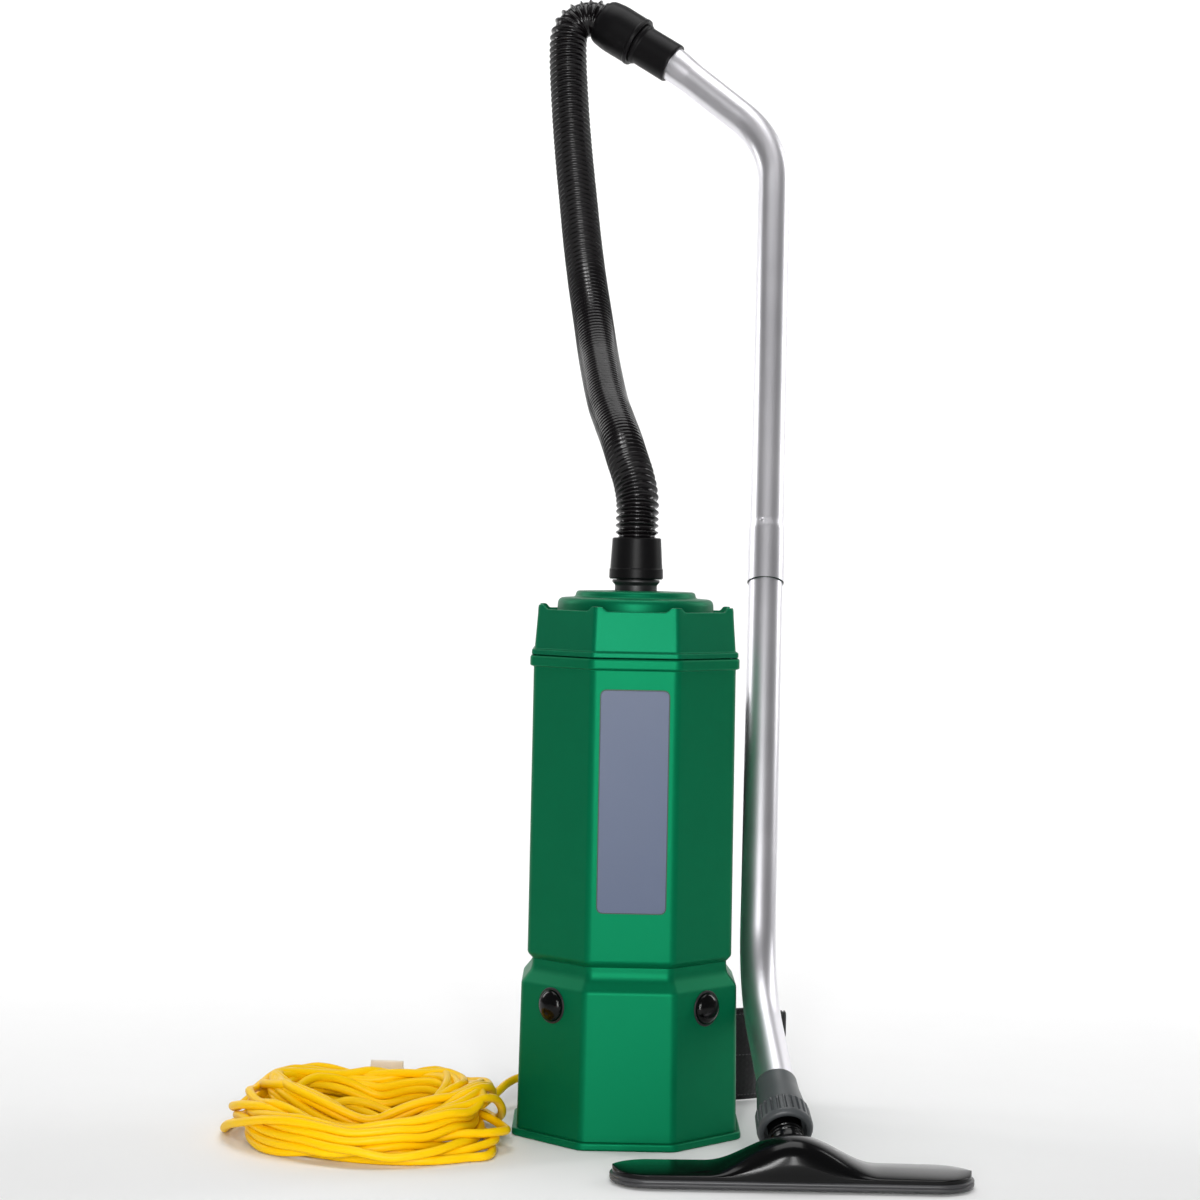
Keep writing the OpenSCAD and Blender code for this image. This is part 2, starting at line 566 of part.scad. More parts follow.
base_plate();
motor_base();
joint_ring();
main_shell();
badge_plate();
base_knobs();
exhaust_filter();
motor_mount();
suction_motor();
motor_cap();
dome_filter();
dust_bag();
bag_collar();
switch_bezel();
switch_rocker();
lid();
lid_gasket();
hose_port();
canister_cuff();
hose();
hose_collar();
wand_cuff();
upper_wand();
lower_wand();
wand_sleeve();
lock_ring();
tool_neck();
tool_shell();
tool_plate();
tool_bumper();
front_bristles();
rear_bristles();
back_plate();
plate_brackets();
back_pad();
strap_left();
strap_right();
strap_adjusters();
strap_webbing();
belt_pad();
belt_wing_left();
belt_wing_right();
belt_webbing();
buckle_socket();
buckle_tongue();
cord_gland();
cord_tube();
cord_coil();
cord_tag();
plug_body();
plug_blades();
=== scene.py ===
"""Looks of the backpack vacuum cleaner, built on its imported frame.

Shapes are worked out in millimetres in the frame's own axes (+Z up, the badge faces -Y)
and turned into metres when a mesh is made.
"""

import math

import bmesh
import bpy
from mathutils import Matrix, Vector


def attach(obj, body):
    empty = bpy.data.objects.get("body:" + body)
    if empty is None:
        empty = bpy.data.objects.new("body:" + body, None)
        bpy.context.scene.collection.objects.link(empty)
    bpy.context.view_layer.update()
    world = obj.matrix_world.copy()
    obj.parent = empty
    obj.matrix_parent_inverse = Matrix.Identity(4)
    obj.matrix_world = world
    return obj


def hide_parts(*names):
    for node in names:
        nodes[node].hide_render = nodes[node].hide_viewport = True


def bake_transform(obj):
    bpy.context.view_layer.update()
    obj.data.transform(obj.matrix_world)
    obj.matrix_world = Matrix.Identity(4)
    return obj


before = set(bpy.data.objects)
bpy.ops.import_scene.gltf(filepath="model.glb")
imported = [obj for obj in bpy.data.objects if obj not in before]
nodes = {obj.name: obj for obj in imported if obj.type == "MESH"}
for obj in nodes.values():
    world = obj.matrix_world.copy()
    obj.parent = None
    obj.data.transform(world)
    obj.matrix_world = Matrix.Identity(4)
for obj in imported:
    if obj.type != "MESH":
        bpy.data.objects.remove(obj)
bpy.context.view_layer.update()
MM = 0.001

# --- driving sizes, in millimetres -------------------------------------------------------
HOSE_D = 46
WAND_R = 19.05
CORD_D = 9
BEND_R = 115
HEEL_R = 185
UPPER_BEND = math.radians(50)
CUFF_DIP = math.radians(7)
CORNER = Vector((136, -13.7, 153.4))
UP_DIR = Vector((0.0254, 0.3736, 0.9272)).normalized()
TOE_DIR = Vector((0.09, -0.855, -0.51)).normalized()
CROOK_AT = 974
CUFF_AT = 111
SLEEVE_AT = 150
RING_AT = 193
TOE_END = 186
PIVOT_AT = 258
JOINT_AT = 461
JOINT_LEN = 73
SIDE_DIR = (Vector((-1, 0, 0)) - Vector((-1, 0, 0)).dot(UP_DIR) * UP_DIR).normalized()
CROOK_DIR = math.cos(UPPER_BEND) * UP_DIR + math.sin(UPPER_BEND) * SIDE_DIR
CUFF_DIR = math.cos(UPPER_BEND + CUFF_DIP) * UP_DIR + math.sin(UPPER_BEND + CUFF_DIP) * SIDE_DIR
CROOK_FOOT = CORNER + CROOK_AT * UP_DIR
CROOK_END = CROOK_FOOT + BEND_R * (
    math.sin(UPPER_BEND) * UP_DIR + (1 - math.cos(UPPER_BEND)) * SIDE_DIR
)
CUFF_MOUTH = CROOK_END + CUFF_AT * CROOK_DIR
PIVOT = CORNER + PIVOT_AT * TOE_DIR
COIL_AT = Vector((-270, -78, 0))
EYE = Vector((-39, -2876, 614))
EYE_ROLL = math.radians(1.1)
FOCAL_SHARE = 2700 / 1200
WORLD_LIGHT = 0.16
OPEN_PITCH = 7.4
CLOSED_BY = 2.9
FOLD_CREST = 3.8
CLOTH_PRESSURE = 4
CLOTH_FRAMES = 20
CLOTH_CAP = 0.0045
CLOTH_VOXEL = 0.005


# --- mesh helpers ------------------------------------------------------------------------
def along(point, direction, up=Vector((0, 0, 1))):
    """A frame at a point whose z axis lies along a direction."""
    z = direction.normalized()
    x = up.cross(z)
    x = x.normalized() if x.length > 1e-4 else Vector((1, 0, 0))
    y = z.cross(x)
    return Matrix.Translation(point) @ Matrix((x, y, z)).transposed().to_4x4()


def grid(rings, wrap=True, caps=True):
    """A mesh over rings of equal length: closed round each ring, and capped at its ends."""
    count = len(rings[0])
    verts = [Vector(p) for ring in rings for p in ring]
    faces = []
    for i in range(len(rings) - 1):
        for k in range(count if wrap else count - 1):
            nxt = (k + 1) % count
            faces.append((i * count + k, i * count + nxt, (i + 1) * count + nxt, (i + 1) * count + k))
    if caps:
        faces.append(tuple(reversed(range(count))))
        faces.append(tuple((len(rings) - 1) * count + k for k in range(count)))
    return verts, faces


def placed(shape, matrix):
    return [matrix @ v for v in shape[0]], shape[1]


def joined(*shapes):
    verts = []
    faces = []
    for shape in shapes:
        start = len(verts)
        verts.extend(shape[0])
        faces.extend(tuple(start + i for i in face) for face in shape[1])
    return verts, faces


def piece(name, body, shape, material, stands_for=(), crease=32):
    """A smooth-shaded piece that rides on a body and stands for CAD nodes."""
    mesh = bpy.data.meshes.new(name)
    mesh.from_pydata([v * MM for v in shape[0]], [], shape[1])
    mesh.validate()
    cleaner = bmesh.new()
    cleaner.from_mesh(mesh)
    bmesh.ops.remove_doubles(cleaner, verts=cleaner.verts, dist=1e-6)
    bmesh.ops.recalc_face_normals(cleaner, faces=cleaner.faces)
    cleaner.to_mesh(mesh)
    cleaner.free()
    mesh.materials.append(material)
    mesh.polygons.foreach_set("use_smooth", [True] * len(mesh.polygons))
    mesh.set_sharp_from_angle(angle=math.radians(crease))
    obj = bpy.data.objects.new(name, mesh)
    bpy.context.scene.collection.objects.link(obj)
    weighted = obj.modifiers.new("weighted normals", "WEIGHTED_NORMAL")
    weighted.keep_sharp = True
    weighted.weight = 100
    if body:
        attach(obj, body)
    if stands_for:
        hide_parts(*stands_for)
    return obj


def rounded(path, steps=5, closed=False):
    """Rounds the corners of an outline of (x, y, cut) points, where cut is how far the rounding reaches."""
    out = []
    for i, (x, y, cut) in enumerate(path):
        here = Vector((x, y))
        if cut == 0 or (not closed and i in (0, len(path) - 1)):
            out.append(here)
            continue
        back = Vector(path[i - 1][:2]) - here
        ahead = Vector(path[(i + 1) % len(path)][:2]) - here
        cut = min(cut, back.length * 0.49, ahead.length * 0.49)
        a = here + back.normalized() * cut
        b = here + ahead.normalized() * cut
        for k in range(steps + 1):
            t = k / steps
            out.append((1 - t) ** 2 * a + 2 * t * (1 - t) * here + t * t * b)
    return out


def turned(profile, sides=64, matrix=Matrix.Identity(4), caps=False):
    """A body of revolution from an outline of (radius, z) points."""
    rings = [
        [
            Vector((r * math.cos(2 * math.pi * k / sides), r * math.sin(2 * math.pi * k / sides), z))
            for k in range(sides)
        ]
        for r, z in profile
    ]
    return placed(grid(rings, caps=caps), matrix)


def octagon(half, corner, steps=4):
    """Points round an eight-sided outline, half as wide as its flats are apart, with rounded corners."""
    out = []
    reach = (half - corner) / math.cos(math.radians(22.5))
    for k in range(8):
        middle = math.radians(22.5 + 45 * k)
        for s in range(steps + 1):
            angle = middle + math.radians(-22.5 + 45 * s / steps)
            out.append(
                Vector(
                    (
                        reach * math.cos(middle) + corner * math.cos(angle),
                        reach * math.sin(middle) + corner * math.sin(angle),
                    )
                )
            )
    return out


def octagon_shell(profile, corner, caps=False):
    """Rings of rounded octagons from an outline of (half width, z) points."""
    rings = [[Vector((p.x, p.y, z)) for p in octagon(half, corner)] for half, z in profile]
    return grid(rings, caps=caps)


def smooth_path(points, step):
    """Evenly spaced points on a Catmull-Rom curve through the given ones."""
    points = [Vector(p) for p in points]
    fine = []
    for i in range(len(points) - 1):
        a = points[max(i - 1, 0)]
        b = points[i]
        c = points[i + 1]
        d = points[min(i + 2, len(points) - 1)]
        parts = max(2, int((c - b).length / step * 2))
        for s in range(parts):
            t = s / parts
            fine.append(
                0.5 * (2 * b + (c - a) * t + (2 * a - 5 * b + 4 * c - d) * t * t
                       + (3 * b - a - 3 * c + d) * t * t * t)
            )
    fine.append(points[-1])
    return even(fine, step)


def even(points, step):
    """The same line with its points a step apart."""
    lengths = [0.0]
    for a, b in zip(points, points[1:]):
        lengths.append(lengths[-1] + (b - a).length)
    count = max(2, round(lengths[-1] / step))
    out = []
    at = 0
    for k in range(count + 1):
        want = lengths[-1] * k / count
        while at < len(points) - 2 and lengths[at + 1] < want:
            at += 1
        span = lengths[at + 1] - lengths[at]
        out.append(points[at].lerp(points[at + 1], 0 if span == 0 else (want - lengths[at]) / span))
    return out


def sweep_frames(points):
    """A frame at each point of a line, turned as little as possible from one to the next."""
    side = None
    out = []
    for i, p in enumerate(points):
        ahead = (points[min(i + 1, len(points) - 1)] - points[max(i - 1, 0)]).normalized()
        if side is None:
            side = ahead.cross(Vector((0, 1, 0.1))).normalized()
        side = (side - side.dot(ahead) * ahead).normalized()
        out.append((p, side, ahead.cross(side), ahead))
    return out


def tube(points, radius, sides=40, caps=True):
    """A round tube along a line; radius is a number or a function of the point's place in the line."""
    rings = []
    for i, (p, side, up, _) in enumerate(sweep_frames(points)):
        r = radius(i) if callable(radius) else radius
        rings.append(
            [
                p + r * (math.cos(2 * math.pi * k / sides) * side + math.sin(2 * math.pi * k / sides) * up)
                for k in range(sides)
            ]
        )
    return grid(rings, caps=caps)


def extruded(outline, depth, matrix=Matrix.Identity(4), edge=0.0):
    """A flat plate from a closed 2-D outline, with its two faces' edges eased."""
    centre = sum((Vector(p[:2]) for p in outline), Vector((0, 0))) / len(outline)

    def ring(z, inset):
        out = []
        count = len(outline)
        for i, p in enumerate(outline):
            here = Vector(p[:2])
            along_edge = (Vector(outline[(i + 1) % count][:2]) - Vector(outline[i - 1][:2])).normalized()
            inward = Vector((-along_edge.y, along_edge.x))
            if inward.dot(centre - here) < 0 and inset:
                inward = -inward
            spot = here + inset * inward
            out.append(Vector((spot.x, spot.y, z)))
        return out

    if edge:
        rings = [ring(0, edge), ring(edge * 0.3, edge * 0.3), ring(edge, 0)]
        rings += [ring(depth - edge, 0), ring(depth - edge * 0.3, edge * 0.3), ring(depth, edge)]
    else:
        rings = [ring(0, 0), ring(depth, 0)]
    return placed(grid(rings), matrix)


def slab_outline(width, height, corner, steps=6):
    half_w = width / 2
    half_h = height / 2
    corners = [(-half_w, -half_h), (half_w, -half_h), (half_w, half_h), (-half_w, half_h)]
    return rounded([(x, y, corner) for x, y in corners], steps, closed=True)


# --- camera, floor and lights ------------------------------------------------------------
def look_through():
    """The camera stands in front of the badge at chest height and is rolled a little."""
    data = bpy.data.cameras.new("camera")
    data.sensor_width = 36
    data.lens = data.sensor_width * FOCAL_SHARE
    data.shift_y = -50 / 1200
    data.clip_end = 50
    camera = bpy.data.objects.new("camera", data)
    camera.matrix_world = (
        Matrix.Translation(EYE * MM)
        @ Matrix.Rotation(math.radians(90), 4, "X")
        @ Matrix.Rotation(EYE_ROLL, 4, "Z")
    )
    bpy.context.scene.collection.objects.link(camera)
    bpy.context.scene.camera = camera


def area_light(name, place, target, size, power, colour=(1, 1, 1)):
    data = bpy.data.lights.new(name, "AREA")
    data.shape = "RECTANGLE"
    data.size = size[0]
    data.size_y = size[1]
    data.energy = power
    data.color = colour
    lamp = bpy.data.objects.new(name, data)
    lamp.location = place
    aim = Vector(target) - Vector(place)
    lamp.rotation_euler = aim.to_track_quat("-Z", "Y").to_euler()
    bpy.context.scene.collection.objects.link(lamp)


def light_the_studio():
    area_light("key strip", (-0.34, -3.3, 0.95), (0, 0, 0.62), (0.24, 1.9), 54)
    area_light("fill strip", (0.36, -3.2, 0.95), (0, 0, 0.62), (0.2, 1.8), 27)
    area_light("top softbox", (0.0, 0.3, 3.4), (0, 0.2, 0), (2.4, 2.0), 50)
    for side in (-1, 1):
        area_light("backdrop light", (side * 3.2, 1.6, 2.2), (side * 0.6, 4.4, 1.6), (1.8, 2.6), 110)
    world = bpy.data.worlds.new("studio")
    world.use_nodes = True
    world.node_tree.nodes["Background"].inputs["Color"].default_value = (1, 1, 1, 1)
    world.node_tree.nodes["Background"].inputs["Strength"].default_value = WORLD_LIGHT
    bpy.context.scene.world = world
    bpy.context.scene.view_settings.view_transform = "Standard"


def lay_the_floor(material):
    """A pale floor that curves up into a backdrop."""
    width = 14.0
    path = [(-14.0, 0.0), (3.2, 0.0)]
    for k in range(1, 9):
        angle = math.radians(90 * k / 8)
        path.append((3.2 + 1.2 * math.sin(angle), 1.2 - 1.2 * math.cos(angle)))
    path.append((4.4, 6.0))
    verts = [Vector((x, y, z)) for y, z in path for x in (-width, width)]
    faces = [(2 * i, 2 * i + 1, 2 * i + 3, 2 * i + 2) for i in range(len(path) - 1)]
    mesh = bpy.data.meshes.new("floor")
    mesh.from_pydata(verts, [], faces)
    mesh.polygons.foreach_set("use_smooth", [True] * len(faces))
    mesh.materials.append(material)
    floor = bpy.data.objects.new("floor", mesh)
    bpy.context.scene.collection.objects.link(floor)


# --- finishes ------------------------------------------------------------------------------
def node_group(name, inputs, outputs):
    tree = bpy.data.node_groups.new(name, "ShaderNodeTree")
    for label, value in inputs:
        socket = tree.interface.new_socket(label, in_out="INPUT", socket_type="NodeSocketFloat")
        socket.default_value = value
    for label in outputs:
        tree.interface.new_socket(label, in_out="OUTPUT", socket_type="NodeSocketFloat")
    return tree, tree.nodes.new("NodeGroupInput"), tree.nodes.new("NodeGroupOutput")


def add_node(tree, kind, **settings):
    node = tree.nodes.new(kind)
    for key, value in settings.items():
        if hasattr(node, key):
            setattr(node, key, value)
        else:
            node.inputs[key.replace("_", " ").title()].default_value = value
    return node


def maths(tree, operation, a, b=0.0):
    """A maths node; a and b are sockets or numbers."""
    node = tree.nodes.new("ShaderNodeMath")
    node.operation = operation
    for socket, value in zip(node.inputs, (a, b)):
        if isinstance(value, bpy.types.NodeSocket):
            tree.links.new(value, socket)
        else:
            socket.default_value = value
    return node.outputs[0]


def make_grain_group():
    """Moulded surface: a fine grain for bump, and slow mottling for colour and gloss."""
    tree, start, end = node_group("moulded grain", [("Scale", 900.0), ("Mottle", 9.0)], ["Grain", "Mottling"])
    place = add_node(tree, "ShaderNodeTexCoord")
    grain = add_node(tree, "ShaderNodeTexNoise", detail=2.0, roughness=0.55)
    mottle = add_node(tree, "ShaderNodeTexNoise", detail=3.0, roughness=0.6)
    tree.links.new(place.outputs["Object"], grain.inputs["Vector"])
    tree.links.new(place.outputs["Object"], mottle.inputs["Vector"])
    tree.links.new(start.outputs["Scale"], grain.inputs["Scale"])
    tree.links.new(start.outputs["Mottle"], mottle.inputs["Scale"])
    tree.links.new(grain.outputs["Fac"], end.inputs["Grain"])
    tree.links.new(mottle.outputs["Fac"], end.inputs["Mottling"])
    return tree


def make_weave_group():
    """Over-and-under weave that reads on faces of any direction."""
    tree, start, end = node_group("weave", [("Threads", 900.0)], ["Weave", "Fuzz"])
    place = add_node(tree, "ShaderNodeTexCoord")
    split = add_node(tree, "ShaderNodeSeparateXYZ")
    tree.links.new(place.outputs["Object"], split.inputs[0])
    waves = [
        maths(tree, "SINE", maths(tree, "MULTIPLY", split.outputs[axis], start.outputs["Threads"]))
        for axis in range(3)
    ]
    crossings = maths(tree, "MULTIPLY", waves[0], waves[2])
    crossings = maths(tree, "ADD", crossings, maths(tree, "MULTIPLY", waves[1], waves[2]))
    crossings = maths(tree, "ADD", crossings, maths(tree, "MULTIPLY", waves[0], waves[1]))
    fuzz = add_node(tree, "ShaderNodeTexNoise", scale=420.0, detail=4.0)
    tree.links.new(place.outputs["Object"], fuzz.inputs["Vector"])
    tree.links.new(maths(tree, "MULTIPLY_ADD", crossings, 0.25), end.inputs["Weave"])
    tree.links.new(fuzz.outputs["Fac"], end.inputs["Fuzz"])
    return tree


grain_group = make_grain_group()
weave_group = make_weave_group()


def shader(name, roughness, metallic=0.0, coat=0.0, specular=0.5, sheen=0.0):
    material = bpy.data.materials.new(name)
    material.use_nodes = True
    principled = material.node_tree.nodes["Principled BSDF"]
    principled.inputs["Roughness"].default_value = roughness
    principled.inputs["Metallic"].default_value = metallic
    principled.inputs["Coat Weight"].default_value = coat
    principled.inputs["Coat Roughness"].default_value = 0.12
    principled.inputs["Specular IOR Level"].default_value = specular
    principled.inputs["Sheen Weight"].default_value = sheen
    principled.inputs["Sheen Roughness"].default_value = 0.5
    return material, material.node_tree, principled


def surface(tree, principled, pattern, shades, gloss, height, relief, strength=0.5):
    """Wires a pattern's mask to colour and roughness, and its height to a bump."""
    colour = add_node(tree, "ShaderNodeMix", data_type="RGBA")
    colour.inputs[6].default_value = (*shades[0], 1)
    colour.inputs[7].default_value = (*shades[1], 1)
    tree.links.new(pattern, colour.inputs[0])
    tree.links.new(colour.outputs[2], principled.inputs["Base Color"])
    rough = add_node(tree, "ShaderNodeMapRange")
    rough.inputs["To Min"].default_value = gloss[0]
    rough.inputs["To Max"].default_value = gloss[1]
    tree.links.new(pattern, rough.inputs["Value"])
    tree.links.new(rough.outputs[0], principled.inputs["Roughness"])
    bump = add_node(tree, "ShaderNodeBump")
    bump.inputs["Strength"].default_value = strength
    bump.inputs["Distance"].default_value = relief
    tree.links.new(height, bump.inputs["Height"])
    tree.links.new(bump.outputs[0], principled.inputs["Normal"])


def moulded(name, shades, gloss, grain=900.0, relief=0.00004, coat=0.0, metallic=0.0, strength=0.5, **more):
    """A moulded or cast surface with fine grain and slow mottling."""
    material, tree, principled = shader(name, gloss[0], metallic=metallic, coat=coat, **more)
    group = add_node(tree, "ShaderNodeGroup", node_tree=grain_group)
    group.inputs["Scale"].default_value = grain
    mottling = group.outputs["Mottling"]
    surface(tree, principled, mottling, shades, gloss, group.outputs["Grain"], relief, strength)
    return material


def woven(name, shades, gloss, threads=900.0, relief=0.0004, sheen=0.3):
    """A woven cloth with fuzz in its colour."""
    material, tree, principled = shader(name, gloss[0], sheen=sheen, specular=0.3)
    group = add_node(tree, "ShaderNodeGroup", node_tree=weave_group)
    group.inputs["Threads"].default_value = threads
    surface(tree, principled, group.outputs["Fuzz"], shades, gloss, group.outputs["Weave"], relief, 0.7)
    return material


def make_wand_metal():
    """Satin drawn tube: metal with a sparkle of fine pitting."""
    return moulded(
        "wand_metal", ((0.66, 0.65, 0.69), (0.8, 0.79, 0.82)), (0.36, 0.42),
        grain=1700.0, relief=0.00004, metallic=1.0, strength=0.8,
    )


mat = {
    "floor": moulded("studio_floor", ((0.86, 0.86, 0.86), (0.88, 0.88, 0.88)), (0.7, 0.8), relief=0.00001),
    "green": moulded(
        "green_plastic", ((0.0002, 0.142, 0.058), (0.0004, 0.158, 0.065)), (0.43, 0.5),
        grain=900.0, relief=0.00007, metallic=0.5, specular=0.07,
    ),
    "green_lid": moulded(
        "green_lid_plastic", ((0.0003, 0.138, 0.06), (0.0005, 0.154, 0.067)), (0.41, 0.48),
        grain=900.0, relief=0.00007, metallic=0.5, specular=0.09,
    ),
    "black_gloss": moulded(
        "black_gloss_plastic", ((0.001, 0.001, 0.0012), (0.002, 0.002, 0.0022)), (0.13, 0.18),
        relief=0.00001, specular=0.2,
    ),
    "black_satin": moulded(
        "black_satin_plastic", ((0.008, 0.008, 0.009), (0.014, 0.014, 0.015)), (0.38, 0.48), relief=0.00006,
    ),
    "rubber": moulded(
        "black_rubber", ((0.003, 0.003, 0.0035), (0.006, 0.0055, 0.006)), (0.34, 0.42), relief=0.00005,
        specular=0.12,
    ),
    "hose": moulded(
        "hose_vinyl", ((0.002, 0.0015, 0.002), (0.004, 0.003, 0.0035)), (0.17, 0.24), relief=0.00002,
        specular=0.32,
    ),
    "bumper": moulded(
        "bumper_rubber", ((0.03, 0.03, 0.033), (0.045, 0.045, 0.048)), (0.35, 0.45), relief=0.00005,
    ),
    "wand": make_wand_metal(),
    "sleeve": moulded(
        "sleeve_grey_plastic", ((0.055, 0.062, 0.065), (0.075, 0.083, 0.086)), (0.35, 0.42), relief=0.00004,
    ),
    "ring": moulded(
        "ring_grey_plastic", ((0.045, 0.05, 0.053), (0.06, 0.066, 0.07)), (0.38, 0.46), relief=0.00006,
    ),
    "badge": moulded(
        "badge_plate_blue", ((0.075, 0.098, 0.165), (0.085, 0.11, 0.185)), (0.3, 0.38), relief=0.00001,
        specular=0.25,
    ),
    # Painted shade: dark green that stands for the shadow under the badge's raised edge and in the step at
    # the wand joint
    "painted_shade_edge": moulded(
        "painted_shade_rim", ((0.006, 0.02, 0.016), (0.01, 0.028, 0.02)), (0.4, 0.5), relief=0.00001,
    ),
    "cord": moulded(
        "cord_yellow_jacket", ((0.95, 0.55, 0.0), (0.98, 0.63, 0.0)), (0.36, 0.44), relief=0.00004,
        grain=700.0, specular=0.2,
    ),
    "tag": moulded("tag_paper", ((0.8, 0.76, 0.72), (0.88, 0.85, 0.81)), (0.6, 0.7), relief=0.00003),
    "brass": moulded(
        "plug_brass", ((0.78, 0.6, 0.28), (0.84, 0.68, 0.36)), (0.2, 0.3), metallic=1.0,
    ),
    "red": moulded("switch_red", ((0.45, 0.015, 0.01), (0.52, 0.02, 0.014)), (0.25, 0.32), coat=0.2),
    "cloth": woven("harness_cloth", ((0.01, 0.01, 0.011), (0.028, 0.028, 0.03)), (0.75, 0.88)),
    "webbing": woven(
        "harness_webbing", ((0.008, 0.008, 0.009), (0.022, 0.022, 0.024)), (0.6, 0.72),
        threads=1600.0, relief=0.0005,
    ),
    "piping": woven(
        "harness_piping", ((0.006, 0.006, 0.007), (0.016, 0.016, 0.018)), (0.55, 0.65), threads=2400.0,
    ),
    "thread": moulded("stitch_thread", ((0.06, 0.06, 0.065), (0.1, 0.1, 0.105)), (0.5, 0.6)),
    "felt": woven("filter_felt", ((0.6, 0.6, 0.56), (0.72, 0.72, 0.68)), (0.85, 0.95), threads=500.0),
    "paper": moulded("bag_paper", ((0.5, 0.42, 0.28), (0.6, 0.52, 0.36)), (0.75, 0.85), relief=0.0001),
    "casting": moulded(
        "motor_casting", ((0.4, 0.4, 0.42), (0.55, 0.55, 0.57)), (0.35, 0.5), metallic=1.0, relief=0.0001,
    ),
    "bristle": woven("tool_bristle", ((0.01, 0.01, 0.01), (0.03, 0.03, 0.03)), (0.6, 0.8), threads=3000.0),
}

look_through()
light_the_studio()
lay_the_floor(mat["floor"])


# --- hose ------------------------------------------------------------------------------------
hose_route = [
    (0, 0, 600), (0, 0, 628), (0, 2, 646), (0, 8, 668), (-4, 20, 690), (-11, 38, 712), (-18, 60, 734),
    (-26, 86, 756), (-34, 115, 780), (-44, 170, 828), (-52, 222, 878), (-60, 270, 928), (-67, 308, 979),
    (-73, 342, 1031), (-79, 372, 1083), (-84, 396, 1134), (-88, 416, 1186), (-89.5, 425, 1215),
    (-89.5, 431, 1239), (-86, 434.5, 1253), (-76, 436.5, 1263), (-62, 436, 1266.5), (-48.5, 433.4, 1262.8),
    (-40.9, 431.4, 1258),
]


def make_hose():
    """Corrugated hose: folds closed in the middle, open near the ends and fanned out in the bend."""
    step = 0.72
    line = smooth_path(hose_route, step)
    count = len(line)
    folds = [0.0]
    for p in line[1:]:
        closed = min(1.0, max(0.0, (p.z - 690) / 50)) * min(1.0, max(0.0, (945 - p.z) / 120))
        folds.append(folds[-1] + step / (OPEN_PITCH - CLOSED_BY * closed))
    frames = sweep_frames(line)
    sides = 48
    reach = 12
    rings = []
    for i, (p, side, up, _) in enumerate(frames):
        before = frames[max(i - reach, 0)]
        after = frames[min(i + reach, count - 1)]
        span = (after[0] - before[0]).length
        bend = (after[3] - before[3]) / max(span, 1.0)
        pitch = step / max(folds[min(i + 1, count - 1)] - folds[max(i, 1) - 1], 1e-6) * 2
        phase = folds[i] % 1.0 - 0.5
        ring = []
        for k in range(sides):
            angle = 2 * math.pi * k / sides
            out = math.cos(angle) * side + math.sin(angle) * up
            stretch = max(0.35, 1 - HOSE_D / 2 * bend.dot(out))
            local = pitch * stretch
            width = FOLD_CREST / 2 * min(1.0, 9.0 / local)
            depth = min(3.8, max(0.4, (local - FOLD_CREST) * 1.05))
            rise = math.exp(-1.0 * (phase * local / width) ** 2)
            ring.append(p + out * (HOSE_D / 2 - depth * (1 - rise)))
        rings.append(ring)
    hose = piece("hose_skin", None, grid(rings), mat["hose"], ["hose"], crease=180)
    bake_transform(hose)


# --- power cord --------------------------------------------------------------------------------
cord_route = [
    (-88, 88, 34), (-96, 96, 33), (-105, 101, 28), (-114, 101, 20), (-123, 93, 13), (-131, 80, 8),
    (-140, 60, 5.6), (-153.9, 38.1, 5.3), (-163.8, 28.2, 5.3),
]
tail_route = [
    (-199.6, 54.7, 34), (-196.7, 60, 34), (-192.4, 72, 33), (-192.4, 87, 28), (-197.5, 100.5, 20),
    (-207, 111.5, 13), (-219.5, 119, 9), (-230, 121.3, 10), (-241, 120.9, 13), (-245, 120.2, 13),
]
CORD_TURNS = 21


def wobble(t, *waves):
    """A slow wander made of a few sines: each wave is (cycles a turn, phase, size)."""
    return sum(size * math.sin(2 * math.pi * (rate * t + phase)) for rate, phase, size in waves)


def loop_point(t):
    """Where the cord runs t turns into the heap: wide loops in front below, smaller ones behind on top."""
    lift = t / CORD_TURNS
    ease = lift * lift * (3 - 2 * lift)
    long_r = 125 - 24 * ease + wobble(t, (0.31, 0.1, 17), (0.73, 0.45, 10))
    short_r = 100 - 20 * ease + wobble(t, (0.27, 0.6, 20), (0.61, 0.2, 10))
    centre = Vector((2, -24 + 66 * ease, 0))
    drift_x = wobble(t, (0.23, 0.3, 7), (0.57, 0.8, 4))
    drift_y = wobble(t, (0.19, 0.9, 8), (0.47, 0.35, 5))
    centre += Vector((drift_x, drift_y, 0))
    turn = math.radians(-16 + 14 * ease + wobble(t, (0.37, 0.5, 9)))
    angle = math.radians(24) - 2 * math.pi * t * (1 - 60 / 360 / CORD_TURNS)
    flat = Vector((long_r * math.cos(angle - turn), short_r * math.sin(angle - turn), 0))
    return COIL_AT + centre + Matrix.Rotation(turn, 3, "Z") @ flat


